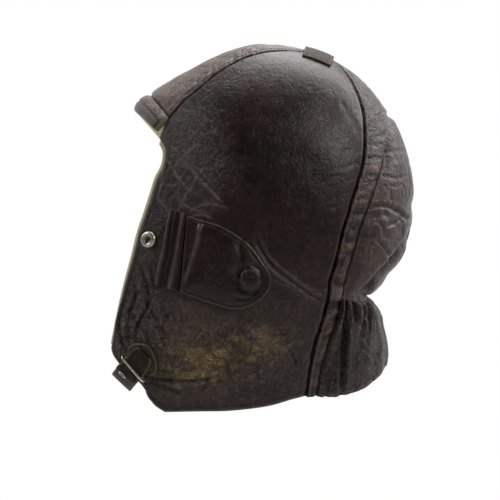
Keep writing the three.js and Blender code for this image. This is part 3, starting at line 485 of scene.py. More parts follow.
def colour(code):
    """Linear colour of an sRGB hex code."""
    parts = [int(code[i:i + 2], 16) / 255 for i in (1, 3, 5)]
    return (*[c / 12.92 if c <= 0.04045 else ((c + 0.055) / 1.055) ** 2.4 for c in parts], 1.0)


# The frame's origin lies on the middle line, under the crown of the lining.
crown_seat = head_point(np.array([90.0, 90.0]), -lining_drop - lining_wall)
crown_seat[0] = 0.0
halves = (("left", 1), ("right", -1))


def make_piece(name, points, faces, finish, traits=None):
    """Mesh object from points in millimetres, turned right side out by the sign of its volume, with
    one float attribute for each trait."""
    points = (points - crown_seat) * 0.001
    volume = sum(
        np.sum(points[group[:, 0]] * np.cross(points[group[:, k]], points[group[:, k + 1]]))
        for group in faces for k in range(1, group.shape[1] - 1))
    if volume < 0:
        faces = [group[:, ::-1] for group in faces]
    mesh = bpy.data.meshes.new(name)
    mesh.from_pydata(points.tolist(), [], [row for group in faces for row in group.tolist()])
    mesh.validate()
    for trait, values in {"busy": np.full(len(points), 0.45), **(traits or {})}.items():
        store = mesh.attributes.new(trait, "FLOAT", "POINT")
        store.data.foreach_set("value", np.ascontiguousarray(values, dtype=np.float32).ravel())
    mesh.polygons.foreach_set("use_smooth", np.ones(len(mesh.polygons), bool))
    mesh.materials.append(finish)
    piece = bpy.data.objects.new(name, mesh)
    bpy.context.collection.objects.link(piece)
    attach(piece, "root")
    return piece


def mirrored(name, stuff, points, faces, finish, traits=None):
    """The same piece on the left and mirrored on the right, each in the place of its node."""
    pieces = []
    for side, turn in halves:
        piece = make_piece(f"{name}_{side}_{stuff}", points * [turn, 1, 1], faces, finish, traits)
        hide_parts(f"{name}_{side}")
        pieces.append(piece)
    return pieces


def spread(traits, shape, index):
    """Traits of grid points copied to the points of the closed wall made from them."""
    return {key: np.broadcast_to(value, shape).ravel()[index] for key, value in traits.items()}


def filled(traits, shape, count, rest):
    """Traits of a wall's outer rings, with one value for the rest of its points."""
    others = np.full(count - np.prod(shape), rest)
    return {key: np.concatenate([np.broadcast_to(value, shape).ravel(), others])
            for key, value in traits.items()}


def grid_faces(rows, columns, start=0):
    """Quads of a grid of points numbered row by row."""
    i, j = np.meshgrid(np.arange(rows - 1), np.arange(columns - 1), indexing="ij")
    a = (start + i * columns + j).ravel()
    return np.stack([a, a + columns, a + columns + 1, a + 1], -1)


def ring_faces(rings, count, start=0):
    """Quads between closed rings of points numbered ring by ring."""
    i, j = np.meshgrid(np.arange(rings - 1), np.arange(count), indexing="ij")
    a, b = start + i * count, (j + 1) % count
    return np.stack([a + j, a + j + count, a + b + count, a + b], -1).reshape(-1, 4)


def sheet_wall(outer, inner, round_edge):
    """Closed wall between two grids of one size. Between their borders runs a middle loop that stands
    out by round_edge, which rounds the cut edge. Returns points, faces and each point's grid index."""
    rows, columns = outer.shape[:2]
    number = np.arange(rows * columns).reshape(rows, columns)
    loop = np.concatenate([number[0, :-1], number[:-1, -1], number[-1, :0:-1], number[:0:-1, 0]])
    i, j = np.divmod(loop, columns)
    flat_outer, flat_inner = outer.reshape(-1, 3), inner.reshape(-1, 3)
    within = np.clip(i, 1, rows - 2) * columns + np.clip(j, 1, columns - 2)
    middle = (flat_outer[loop] + flat_inner[loop]) / 2
    middle = middle + unit(flat_outer[loop] - flat_outer[within]) * round_edge
    points = np.concatenate([flat_outer, flat_inner, middle])
    size = rows * columns
    edge = np.arange(len(loop))
    after = np.roll(edge, -1)
    rim = 2 * size + edge
    faces = [
        grid_faces(rows, columns),
        grid_faces(rows, columns, size)[:, ::-1],
        np.stack([loop, loop[after], 2 * size + after, rim], -1),
        np.stack([rim, 2 * size + after, size + loop[after], size + loop], -1)]
    return points, faces, np.concatenate([number.ravel(), number.ravel(), loop])


def ring_wall(outer, inner, round_edge, outer_middle, inner_middle):
    """Closed wall between two sets of rings round a middle point, with the same rounded edge. Its
    points are the outer rings, the inner rings, the edge loop and the two middle points."""
    rings, count = outer.shape[:2]
    inner_rings = inner.shape[0]
    middle = (outer[-1] + inner[-1]) / 2 + unit(outer[-1] - outer[-2]) * round_edge
    points = np.concatenate([outer.reshape(-1, 3), inner.reshape(-1, 3), middle,
                             [outer_middle], [inner_middle]])
    start = rings * count
    edge = start + inner_rings * count
    j = np.arange(count)
    k = (j + 1) % count
    last_outer, last_inner = start - count, edge - count
    faces = [
        ring_faces(rings, count),
        ring_faces(inner_rings, count, start)[:, ::-1],
        np.stack([last_outer + j, edge + j, edge + k, last_outer + k], -1),
        np.stack([edge + j, last_inner + j, last_inner + k, edge + k], -1),
        np.stack([np.full(count, edge + count), j, k], -1),
        np.stack([np.full(count, edge + count + 1), start + k, start + j], -1)]
    return points, faces


def follow(outer, places, distance, value):
    """Line over a grid of points where the distance, which grows along each row, reaches a value, with
    the outward direction at each of its points."""
    i = np.clip(np.argmax(distance >= value, axis=1), 1, None)[:, None]
    near, far = np.take_along_axis(distance, i - 1, 1), np.take_along_axis(distance, i, 1)
    share = np.clip((value - near) / np.maximum(far - near, 1e-6), 0, 1)

    def between(grid):
        first, second = (np.take_along_axis(grid, at[..., None], 1)[:, 0] for at in (i - 1, i))
        return first + (second - first) * share

    return between(outer), outward(between(places))


def stitching(name, lines, finish, pitch, long=2.0, wide=0.5, sides=halves):
    """Rows of stitches on the left and mirrored on the right. Each stitch is five rings of six points,
    radius wide / 2 x (1 - t^4) for t from -0.95 to 0.95 along it, whose ends dip into the leather."""
    along = np.array([-0.95, -0.65, 0.0, 0.65, 0.95])
    angle = np.linspace(0, 2 * np.pi, 6, endpoint=False)
    radius = wide / 2 * (1 - along ** 4)
    groups = []
    for points, up in lines:
        length = run_length(points)
        count = int(length[-1] / pitch)
        at = (np.arange(count) + 0.5)[:, None] * length[-1] / count + along * long / 2
        centre, raised = read_at(at, length, points), unit(read_at(at, length, up))
        run = unit(centre[:, -1:] - centre[:, :1])
        aside = unit(np.cross(raised, run))
        centre = centre + raised * (wide * (0.22 - 0.45 * along ** 2))[:, None]
        groups.append(centre[:, :, None] + aside[:, :, None] * (radius[:, None] * np.cos(angle))[..., None]
                      + raised[:, :, None] * (radius[:, None] * np.sin(angle))[..., None])
    stitches = np.concatenate(groups)
    start = 30 * np.arange(len(stitches))[:, None]
    sleeve = (start[:, None] + ring_faces(5, 6)[None]).reshape(-1, 4)
    ends = np.concatenate([start + np.arange(6)[::-1], start + 24 + np.arange(6)])
    for side, turn in sides:
        row = make_piece(f"{name}_{side}_thread", stitches.reshape(-1, 3) * [turn, 1, 1], [sleeve, ends],
                         finish)


def woven(name, first, second, rough, clouds, rib, nap=None):
    """Cotton thread or cloth: two colours in clouds, and a bump of even ribs under a finer nap. clouds are
    scale and detail, rib is scale, distortion, strength and depth, and nap is scale, strength and depth."""
    finish, tree, shader, where = material(name)
    cloud = node(tree, "ShaderNodeTexNoise", {"Scale": clouds[0], "Detail": clouds[1]}, {"Vector": where})
    tone = node(tree, "ShaderNodeMix", {"data_type": "RGBA", 6: colour(first), 7: colour(second)}, {
        0: cloud.outputs["Fac"]})
    tree.links.new(tone.outputs[2], shader.inputs["Base Color"])
    shader.inputs["Roughness"].default_value = rough
    waves = node(tree, "ShaderNodeTexWave", {"Scale": rib[0], "Distortion": rib[1]}, {"Vector": where})
    bump = node(tree, "ShaderNodeBump", {"Strength": rib[2], "Distance": rib[3]}, {
        "Height": waves.outputs["Fac"]})
    if nap:
        shader.inputs["Sheen Weight"].default_value = 0.3
        fuzz = node(tree, "ShaderNodeTexNoise", {"Scale": nap[0], "Detail": 3.0}, {"Vector": where})
        bump = node(tree, "ShaderNodeBump", {"Strength": nap[1], "Distance": nap[2]}, {
            "Height": fuzz.outputs["Fac"], "Normal": bump.outputs[0]})
    tree.links.new(bump.outputs[0], shader.inputs["Normal"])
    return finish


# Waxed thread whose plies are 0.35 mm apart, clouded every 3 mm: a wave repeats every 0.314 m / scale.
thread_weave = 0.7, (300.0, 3.0), (900.0, 0.0, 0.4, 0.0002)
dark_thread = woven("waxed_brown_thread", "#1d1512", "#4a3a30", *thread_weave)
olive_thread = woven("waxed_olive_thread", "#4a4028", "#8b7c4e", *thread_weave)


def leather(name, dark, mid, gloss, grain, wrinkle, gleam, hide):
    """Aniline-dyed leather, glazed and worn: near-black brown that turns redder where the dye is thin,
    paler and duller where worn, with pebble grain and fine creases. Hollows, crease lines, seams and wells
    get painted shade, and some tops and ridges a painted highlight. The traits of the mesh say where it is
    paler from wear and painted highlight, worn through to the tan of the hide, darkened with painted shade in
    seams, folds and wells, and busy with creases."""
    finish, tree, shader, where = material(name)
    shader.inputs["Specular IOR Level"].default_value = gleam
    rub_and_highlight, tan, deep, busy = (
        node(tree, "ShaderNodeAttribute", {"attribute_name": trait}).outputs["Fac"]
        for trait in ("rub_and_highlight", "tan", "deep", "busy"))

    # Clouds of dye 30 mm across, redder ones of 70 mm, a 6 mm mottle, 3 mm ridges and a 1 mm speckle.
    cloud, thin_dye, mottle, ridges, speckle = (
        node(tree, "ShaderNodeTexNoise", {"Scale": scale, "Detail": detail, "Roughness": rough}, {
            "Vector": where}).outputs["Fac"]
        for scale, detail, rough in (
            (33.0, 5.0, 0.60), (14.0, 3.0, 0.60), (170.0, 6.0, 0.68), (360.0, 2.0, 0.50), (900.0, 4.0, 0.75)))
    pebble = node(tree, "ShaderNodeTexVoronoi", {"Scale": 900.0}, {"Vector": where}).outputs["Distance"]
    # Creases 12 mm and 4 mm apart: 1 along the thin lines where a noise crosses its middle value.
    creases = []
    for scale, detail, breadth, bend in ((85.0, 2.5, 0.022, 0.8), (240.0, 3.0, 0.035, 0.5)):
        waves = node(tree, "ShaderNodeTexNoise", {
            "Scale": scale, "Detail": detail, "Roughness": 0.55, "Distortion": bend}, {"Vector": where})
        offset = node(tree, "ShaderNodeMath", {"operation": "SUBTRACT", 1: 0.5}, {0: waves.outputs["Fac"]})
        away = node(tree, "ShaderNodeMath", {"operation": "ABSOLUTE"}, {0: offset.outputs[0]})
        creases.append(node(tree, "ShaderNodeMapRange", {
            "From Max": breadth, "To Min": 1.0, "To Max": 0.0}, {0: away.outputs[0]}).outputs[0])
    wide_crease, fine_crease = creases
    # Strokes 1.2 mm wide and four or five times as long, which run forward and down.
    slant = node(tree, "ShaderNodeMapping", {
        "Rotation": (0.55, 0.0, 0.0), "Scale": (1.0, 0.28, 1.3)}, {0: where})
    strokes = node(tree, "ShaderNodeTexNoise", {"Scale": 640.0, "Detail": 4.0, "Roughness": 0.65}, {
        "Vector": slant.outputs[0]})

    # The dye is dark in the clouds and redder where it is thin, and painted shade darkens the hollows of the
    # mottle.
    # Tops of the mottle and the ridges are paler, partly from wear and partly as a painted highlight, and
    # bare hide shows in specks and strokes.
    clouded, hollows, reddened, tops, ridge_tops, specks, scratched = (
        node(tree, "ShaderNodeMapRange", {
            "From Min": low, "From Max": high, "To Min": least, "To Max": most}, {0: field}).outputs[0]
        for field, low, high, least, most in (
            (cloud, 0.36, 0.66, 0.0, 1.0), (mottle, 0.54, 0.38, 0.0, 0.7), (thin_dye, 0.45, 0.70, 0.0, 0.6),
            (mottle, 0.36, 0.68, 0.40, 1.0), (ridges, 0.52, 0.66, 0.0, 0.40),
            (speckle, 0.50, 0.66, 0.0, 0.75), (strokes.outputs["Fac"], 0.52, 0.62, 0.0, 1.0)))
    # Only creased leather gets the painted shade in its hollows and the paler ridge tops, which are partly
    # wear and partly a painted highlight; the creases let the hide through as broken lines.
    sunk, chafed_and_highlit = (
        node(tree, "ShaderNodeMath", {"operation": "MULTIPLY"}, {0: field, 1: busy})
        for field in (hollows, ridge_tops))
    rubbed_and_highlit = node(tree, "ShaderNodeMath", {"operation": "MULTIPLY_ADD"}, {
        0: rub_and_highlight, 1: tops, 2: chafed_and_highlit.outputs[0]})
    lines = node(tree, "ShaderNodeMath", {"operation": "MAXIMUM"}, {0: fine_crease, 1: wide_crease})
    broken = node(tree, "ShaderNodeMath", {"operation": "MAXIMUM"}, {0: specks, 1: lines.outputs[0]})
    fainter = node(tree, "ShaderNodeMath", {"operation": "MULTIPLY", 1: 0.7}, {0: broken.outputs[0]})
    bare = node(tree, "ShaderNodeMath", {"operation": "MAXIMUM"}, {0: fainter.outputs[0], 1: scratched})
    washed = node(tree, "ShaderNodeMath", {"operation": "ADD", 1: 0.28}, {0: bare.outputs[0]})
    worn = node(tree, "ShaderNodeMath", {"operation": "MULTIPLY"}, {0: washed.outputs[0], 1: tan})
    # The crease lines are darkened with dirt and painted shade, and the deep trait darkens the seams, folds
    # and wells with painted shade.
    crease_dirt_and_shade = node(tree, "ShaderNodeMath", {"operation": "MULTIPLY"}, {0: lines.outputs[0], 1: busy})
    half_crease_dirt_and_shade = node(tree, "ShaderNodeMath", {"operation": "MULTIPLY", 1: 0.6}, {0: crease_dirt_and_shade.outputs[0]})
    shadow = node(tree, "ShaderNodeMath", {"operation": "MAXIMUM"}, {0: half_crease_dirt_and_shade.outputs[0], 1: deep})
    tone = node(tree, "ShaderNodeMix", {"data_type": "RGBA", 6: colour(dark), 7: colour(mid)}, {
        0: clouded}).outputs[2]
    # Layers over the dye: painted shade in the hollows, redder thin dye, paler wear with a painted highlight,
    # the tan of the hide, and the darkest painted shade with the crease dirt.
    for amount, code in (
            (sunk.outputs[0], "#0a0605"), (reddened, "#32170f"), (rubbed_and_highlit.outputs[0], "#725e55"),
            (worn.outputs[0], hide), (shadow.outputs[0], "#080504")):
        tone = node(tree, "ShaderNodeMix", {"data_type": "RGBA", 7: colour(code)}, {
            0: amount, 6: tone}).outputs[2]
    tree.links.new(tone, shader.inputs["Base Color"])

    # Glazed where it is whole, duller on the mottle's tops and where it is worn through.
    glazed = node(tree, "ShaderNodeMapRange", {
        "From Min": 0.3, "From Max": 0.7, "To Min": gloss, "To Max": gloss + 0.14}, {0: mottle})
    shine = node(tree, "ShaderNodeMath", {"operation": "MULTIPLY_ADD", 1: 0.12}, {
        0: tan, 2: glazed.outputs[0]})
    tree.links.new(shine.outputs[0], shader.inputs["Roughness"])
    pebbled = node(tree, "ShaderNodeBump", {"Strength": grain, "Distance": 0.0003}, {"Height": pebble})
    lumpy = node(tree, "ShaderNodeMath", {
        "operation": "MULTIPLY_ADD", 1: wrinkle * 0.95, 2: wrinkle * 0.05}, {0: busy})
    lined = node(tree, "ShaderNodeMath", {"operation": "MULTIPLY", 1: wrinkle}, {0: busy})
    normal = pebbled.outputs[0]
    for height, strength, distance, sunken in (
            (mottle, lumpy, 0.0030, False), (ridges, lined, 0.0016, False),
            (wide_crease, lined, 0.0020, True), (fine_crease, lined, 0.0013, True)):
        normal = node(tree, "ShaderNodeBump", {"Distance": distance, "invert": sunken}, {
            "Height": height, "Strength": strength.outputs[0], "Normal": normal}).outputs[0]
    tree.links.new(normal, shader.inputs["Normal"])
    return finish


panel_leather = leather("glazed_sheep_leather", "#130b08", "#2d1e18", 0.26, 0.10, 0.95, 0.42, "#c4a266")

panel_inset = {"face": 0.0, "seam": 0.05, "neck": 0.0}


def side_border(inset, counts):
    """Places once round a side panel, from the chin up the face, over the crown seam, down the back
    seam and along the hem, with an inset for each kind of edge."""
    face, brow, crown, back, neck, jaw = counts
    runs = [
        beside(places_along(face_edge[::-1], face), -inset["face"]),
        beside(places_along(brow_side, brow), -inset["seam"]),
        beside(crown_seam_line(crown), -inset["seam"]),
        beside(back_seam_line(back), -inset["seam"]),
        beside(places_along(neck_edge[::-1], neck), -inset["neck"]),
        beside(places_along(jaw_edge[::-1], jaw), -inset["neck"])]
    return np.concatenate([run[:-1] for run in runs])


def crown_seam_line(count):
    """Places along the seam between the crown and a side panel."""
    return places_along(crown_seam, count, crown_end_width / 2)


def back_seam_line(count, first=0, last=last_row):
    """Places along the seam behind a side panel, evenly spaced between two sections."""
    rows = aside_place(back_rows[:, :2], crown_end_width / 2)
    fine = through_rows(rows, np.linspace(first, last, 30 * (last - first)))
    length = run_length(form_point(fine))
    return read_at(np.linspace(0, length[-1], count), length, fine)


border_counts = (120, 14, 130, 200, 120, 60)
border = side_border(panel_inset, border_counts)
border_points = form_point(border)
face_count, neck_count = border_counts[0] - 1, sum(border_counts[:4]) - 4
hem_edge = np.concatenate([border_points[neck_count:], border_points[:face_count + 1]])
hem_stitch = 5.6


def border_distance(points, line=None):
    """Distance from each point to the border of the side panel, or to an open line, in blocks to spare
    memory."""
    flat = points.reshape(-1, 3)
    a, b = (border_points, np.roll(border_points, -1, axis=0)) if line is None else (line[:-1], line[1:])
    run = b - a
    length = np.sum(run * run, -1)
    best = []
    for block in np.array_split(flat, max(1, len(flat) // 4000)):
        share = np.clip((block @ run.T - np.sum(a * run, -1)) / length, 0, 1)
        gap = block[:, None, :] - a - share[..., None] * run
        best.append(np.sqrt(np.min(np.sum(gap * gap, -1), axis=1)))
    return np.concatenate(best).reshape(points.shape[:-1])


def side_puff(place):
    """Height of the side panel's padding, without creases, which the sewn-on pieces rest on."""
    return panel_puff * roll_off(border_distance(form_point(place)), puff_roll)


def side_rise(place, seed):
    """Height of the side panel over the head form, with its traits. The padding rolls off to the
    border; on it lie the charted creases, broad dents, and wrinkles that follow random fields."""
    points = form_point(place)
    edge = border_distance(points)
    rise = panel_puff * roll_off(edge, 1.9) - 0.9 * bell(edge, 0.9)
    hollow, lip = folds(points, side_creases)
    scratch, _ = folds(points, side_scratches)
    inside = roll_off(edge, 9)
    temple = patch_of(points, (-62, 72), (40, 52))
    cheek = patch_of(points, (-30, -104), (95, 52))
    jaw = patch_of(points, (-105, -60), (28, 70))
    busy = np.clip(0.12 + 0.6 * temple + 0.95 * cheek + 0.9 * jaw, 0, 1)
    under_flap = patch_of(points, (-42, -12), (74, 50))
    broad = (0.9 * lumps(points, 46, seed) + 0.35 * lumps(points, 19, seed + 1)) * (1 - 0.8 * under_flap)
    wrinkles = 0.42 * furrows(points, 15, 0.10, seed + 8) + 0.30 * furrows(points, 8, 0.13, seed + 9)
    wrinkles = wrinkles * (1 - 0.8 * under_flap)
    pucker = 0.20 * lumps(points, 3.4, seed + 11) * bell(edge, 4.5, 2)
    crumple = 0.45 * lumps(points, 9, seed + 12) + 0.22 * lumps(points, 5, seed + 10)
    crumple = crumple * (1 - 0.6 * under_flap)
    rise = rise + inside * (broad + 1.25 * busy * (crumple - wrinkles)) - hollow + lip
    rise = rise + pucker * roll_off(edge, 1.5) + 0.9 * scratch
    # The folded hem round the face and the neck is pressed down along its stitching.
    from_hem = border_distance(points, hem_edge)
    rise = rise - 0.35 * bell(from_hem, 0.8, hem_stitch)
    # Paler where worn at the temple, cheek and jaw, along the scratches and the wrinkles, and on the crease
    # lips and in a line beside the seam, which are partly wear and partly painted highlight.
    wear_and_highlight = np.clip(0.45 * bell(edge, 0.9, 1.9) + 1.4 * lip + 0.06 * temple + 0.42 * cheek + 0.22 * jaw
                   + 5.5 * scratch + 0.45 * busy * furrows(points, 15, 0.16, seed + 8), 0, 1)
    slant = points @ np.array([[1, 0, 0], [0, 0.8, 0.5], [0, -0.5, 2.0]])
    tan = (1.70 * patch_of(points, (-46, -112), (22, 17)) + 0.55 * patch_of(points, (-8, -102), (36, 12))
           + 0.60 * patch_of(points, (20, -84), (20, 10)) + 0.22 * patch_of(points, (-28, -94), (52, 28)))
    tan = np.clip(tan * (0.62 + 0.8 * lumps(slant, 9, seed + 18) + 0.4 * lumps(slant, 4, seed + 19)), 0, 1)
    # Painted shade darkens the crease hollows, the seam and the wrinkle lines.
    deep = np.clip(0.85 * hollow + 1.1 * bell(edge, 1.3) + 0.5 * busy * furrows(points, 8, 0.10, seed + 9)
                   + 0.4 * busy * furrows(points, 15, 0.07, seed + 8), 0, 1)
    return rise, {"rub_and_highlight": wear_and_highlight, "tan": tan, "deep": deep, "busy": busy}


def drawn_in(line, shares):
    """Rings of places from a border in towards the ear, by shares of the border's climb."""
    return line[None] * np.stack([np.ones_like(shares), shares], -1)[:, None]


outer_shares = np.concatenate([
    np.linspace(0.02, 0.80, 60), np.linspace(0.812, 0.955, 18), np.linspace(0.96, 1, 13)])
inner_shares = np.array([0.1, 0.3, 0.5, 0.7, 0.82, 0.9, 0.96, 1.0])
rings, low = drawn_in(border, outer_shares), drawn_in(border, inner_shares)
for (side, turn), seed in zip(halves, (3, 203)):
    rise, traits = side_rise(rings, seed)
    low_rise = side_puff(low) - leather_wall
    low_rise[-1] = rise[-1] - leather_wall
    outer, inner = head_point(rings, rise), head_point(low, low_rise)
    middle = head_point(np.array([0.0, 0.0]), rise[0].mean())
    points, faces = ring_wall(outer, inner, 0.5, middle, middle - [leather_wall, 0, 0])
    if side == "left":
        hem_rings = outer[::-1].swapaxes(0, 1), rings[::-1].swapaxes(0, 1)
    panel = make_piece(f"side_panel_{side}_leather", points * [turn, 1, 1], faces, panel_leather,
                       filled(traits, rise.shape, len(points), 0.2))
    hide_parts(f"side_panel_{side}")

# The hem is stitched 5.6 mm in from the face edge and from the neck edge, 3.6 mm to a stitch.
flat_hem = form_point(hem_rings[1])
from_hem = np.linalg.norm(flat_hem - flat_hem[:, :1], axis=-1)
hem_line, hem_up = follow(*hem_rings, from_hem, hem_stitch)
face_run, neck_run = slice(3, face_count - 3), slice(neck_count + 3, -2)
stitching("hem_stitches", [(hem_line[run], hem_up[run]) for run in (face_run, neck_run)],
          dark_thread, 3.6, 2.4, 0.55)


# Crown panel: a long gusset of the same leather from the brow band over the crown to the tab, lapped
# over the side panels and topstitched on both edges, with shallow bias wrinkles from wear.
brow_crest = 126.8


def crossing(sides, crests, columns):
    """Rows of places from the left seam over the middle line to the right one. Turn eases in as
    sin(share x 90 degrees), so that a row runs square over the middle; climb goes evenly to 180 - climb."""
    share = np.linspace(0, 2, columns)
    share = 0.45 * share + 0.55 * (1 - np.cos(share * np.pi / 2))
    lift = (crests - sides[:, 0])[:, None]
    eased = np.sin(share * np.pi / 2)
    turn = sides[:, :1] + lift * eased
    climb = sides[:, 1:] + (90 - sides[:, 1:]) * share
    return np.stack([turn, climb], -1)


def grid_edges(points):
    """Distances of each grid point from the first row, the last row and the nearer side."""
    first = np.linalg.norm(points - points[:1], axis=-1)
    last = np.linalg.norm(points - points[-1:], axis=-1)
    sides = np.minimum(np.linalg.norm(points - points[:, :1], axis=-1),
                       np.linalg.norm(points - points[:, -1:], axis=-1))
    return first, last, sides


def seam_lap(distance, puckers, lap):
    """Height beside a lapped and topstitched seam: it dips 1 mm into the seam, swells between seam
    and stitching, and is pressed down along the stitching, with small puckers along it."""
    return (-1.0 * bell(distance, 0.6) - 0.25 * bell(distance, 0.7, lap)
            + 0.30 * bell(distance, 0.8, 1.5) * (1 + 0.6 * puckers))


def skin(places, rise, thickness, round_edge=0.5):
    """Closed wall over a grid of places: the raised outer skin, and the inner one a thickness below."""
    return sheet_wall(head_point(places, rise), head_point(places, rise - thickness), round_edge)


crown_creases = [
    ([(-83, 136), (-74, 142), (-66, 152)], 0.5, 1.3),
    ([(-60, 148), (-50, 158), (-44, 170)], 0.5, 1.3),
    ([(-42, 160), (-34, 170), (-30, 180)], 0.4, 1.2),
    ([(-24, 172), (-14, 182), (-8, 192)], 0.4, 1.2),
    ([(8, 192), (16, 198), (26, 203)], 0.35, 1.1),
]
crown_steps, crown_lap = 150, 3.6
crown_sides = beside(crown_seam_line(crown_steps), 0.05)
crown_crests = np.linspace(brow_crest, back_rows[0, 4], crown_steps)
crown_places = crossing(crown_sides, crown_crests, 101)
crown_points = form_point(crown_places)
to_brow, _, to_side = grid_edges(crown_points)
hollow, lip = folds(crown_points, crown_creases)
crown_wrinkles = 0.40 * furrows(crown_points, 13, 0.10, 31) + 0.22 * furrows(crown_points, 6, 0.12, 32)
crown_rise = (panel_puff * roll_off(to_side, 2.2) * roll_off(to_brow, 2.2)
              + seam_lap(to_side, lumps(crown_points, 3.2, 33), crown_lap) - 0.7 * bell(to_brow, 1.2)
              + 0.25 * lumps(crown_points, 2.6, 35) * bell(to_side, 1.6, 2.2)
              + roll_off(to_side, 6) * (0.9 * lumps(crown_points, 26, 34) + 0.4 * lumps(crown_points, 9, 36)
                                       - crown_wrinkles) - 1.4 * hollow + 1.4 * lip)
# The crown is painted pale all over as a painted sheen, with paler crease lips and a paler line beside the
# seam; painted shade darkens the seam, the stitching, the brow edge and the crease hollows.
crown_traits = {
    "rub_and_highlight": np.clip(0.88 + 0.5 * bell(to_side, 1.0, 1.8) + lip - 0.4 * hollow, 0, 1),
    "busy": 0.26 + 0.18 * lumps(crown_points, 24, 37),
    "deep": np.clip(1.1 * bell(to_side, 1.4) + 0.3 * bell(to_side, 0.5, crown_lap)
                    + 0.8 * bell(to_brow, 0.9) + 0.4 * hollow, 0, 1)}
points, faces, index = skin(crown_places, crown_rise, leather_wall)
crown_skin = points[:crown_rise.size].reshape(crown_points.shape)
from_side = np.linalg.norm(crown_points - crown_points[:, :1], axis=-1)
stitching("crown_stitches", [follow(crown_skin, crown_places, from_side, crown_lap)], dark_thread,
          3.0, 2.2)
crown = make_piece("crown_panel_leather", points, faces, panel_leather,
                   spread(crown_traits, crown_rise.shape, index))
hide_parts("crown_panel")


# Rear strips: a bias-cut strip of leather over each rear seam, turned under on both sides. Its inner
# stitching is drawn tight, so that it puckers all the way down.
def seam_at(row):
    """Places on the seam behind the side panel, at fractional sections."""
    return through_rows(aside_place(back_rows[:, :2], crown_end_width / 2), row)


def edge_at(row):
    """Places on the inner edge of the strip, at fractional sections, kept off the middle line."""
    place = through_rows(aside_place(back_rows[:, 2:4], 0.25), row)
    return np.stack([place[:, 0], np.minimum(place[:, 1], climb_aside(0.1))], -1)


strip_rows = np.linspace(0, last_row, 320)
strip_share = np.linspace(0, 1, 30)
strip_share = 0.4 * strip_share + 0.6 * (1 - np.cos(strip_share * np.pi)) / 2
seam_side, edge_side = beside(seam_at(strip_rows), 0.05), edge_at(strip_rows)
# Above the notch the two strips meet, and their rows run square over the middle line.
meeting = np.clip(1 - (strip_rows - notch_row), 0, 1)[:, None]
blend = meeting * np.sin(strip_share * np.pi / 2) + (1 - meeting) * strip_share
places = np.stack([
    seam_side[:, :1] + (edge_side[:, :1] - seam_side[:, :1]) * blend,
    seam_side[:, 1:] + (edge_side[:, 1:] - seam_side[:, 1:]) * strip_share], -1)
flat = form_point(places)
from_seam = np.linalg.norm(flat - flat[:, :1], axis=-1)
from_edge = np.linalg.norm(flat - flat[:, -1:], axis=-1)
lap = np.minimum(4.6, 0.42 * from_seam[:, -1:])
# The puckers are three times as long across the strip as along it.
tape = np.stack(np.broadcast_arrays(run_length(flat[:, 0])[:, None], 0.35 * from_seam, 0.0), -1)
drawn = 0.8 * bell(strip_rows[:, None], 2.5, waist_row)
for (side, turn), seed in zip(halves, (40, 60)):
    pucker = (lumps(tape, 3.6, seed) + 0.5 * lumps(tape, 1.9, seed + 1)) * (1 - 0.65 * meeting + drawn)
    rise = (1.5 * roll_off(from_seam, 1.6) * roll_off(from_edge, 2.0)
            - 1.0 * bell(from_seam, 0.6) - 0.6 * bell(from_edge, 0.7)
            + 0.40 * bell(from_seam, 0.6, 1.5) - 0.30 * bell(from_seam, 0.7, lap)
            + 0.55 * pucker * roll_off(from_seam - 1.4, 2.0) * roll_off(from_edge, 1.6))
    # The pucker tops and a line beside the seam are painted paler, partly wear and partly painted highlight;
    # painted shade darkens both edges and the stitching, less on the pucker tops.
    traits = {
        "rub_and_highlight": np.clip(0.34 + 0.62 * pucker + 0.8 * bell(from_seam, 0.6, 1.7), 0, 1),
        "deep": np.clip(1.1 * bell(from_seam, 1.1) + 0.95 * bell(from_edge, 0.9)
                        + 0.25 * bell(from_seam, 0.5, lap)
                        - 0.25 * pucker * roll_off(from_seam, 1.5), 0, 1),
        "busy": 0.32}
    points, faces, index = skin(places, rise, leather_wall)
    if side == "left":
        line, up = follow(points[:rise.size].reshape(flat.shape), places, from_seam / lap, 1.0)
        stitching("strip_stitches", [(line[14:], up[14:])], dark_thread, 2.8)
    strip = make_piece(f"rear_strip_{side}_leather", points * [turn, 1, 1], faces, panel_leather,
                       spread(traits, rise.shape, index))
    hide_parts(f"rear_strip_{side}")


# Back panel: the middle piece over the back of the head, cut full and eased into its seams so that it
# balloons. It creases across where it hangs over, and is gathered where the nape is drawn in.
back_puff = 3.4
back_creases = [
    ([(122, 41), (135, 43), (145, 40), (152, 36), (160, 28)], 0.9, 1.6),
    ([(161, 27), (158, 15), (148, 0), (134, -16), (118, -33), (107, -42)], 2.0, 1.7),
    ([(150, 0), (140, -14), (126, -28), (112, -40)], 0.8, 1.4),
    ([(134, 22), (146, 28), (156, 36)], 0.6, 1.5),
    ([(124, 12), (134, 2), (142, -12)], 0.5, 1.4),
    ([(139, 140), (141, 124), (139, 104), (136, 84)], 0.7, 1.6),
    ([(126, 100), (140, 96), (156, 98)], 0.3, 1.2),
    ([(130, 74), (144, 70), (160, 74)], 0.3, 1.2),
]
back_at, back_columns = np.linspace(notch_row + 1, waist_row, 150), 171
back_crests = through_rows(back_rows[:, 4], back_at)
back_places = crossing(edge_at(back_at), back_crests, back_columns)
back_points = form_point(back_places)
to_notch, to_waist, to_side = grid_edges(back_points)
to_seam = np.minimum(to_side, to_notch)
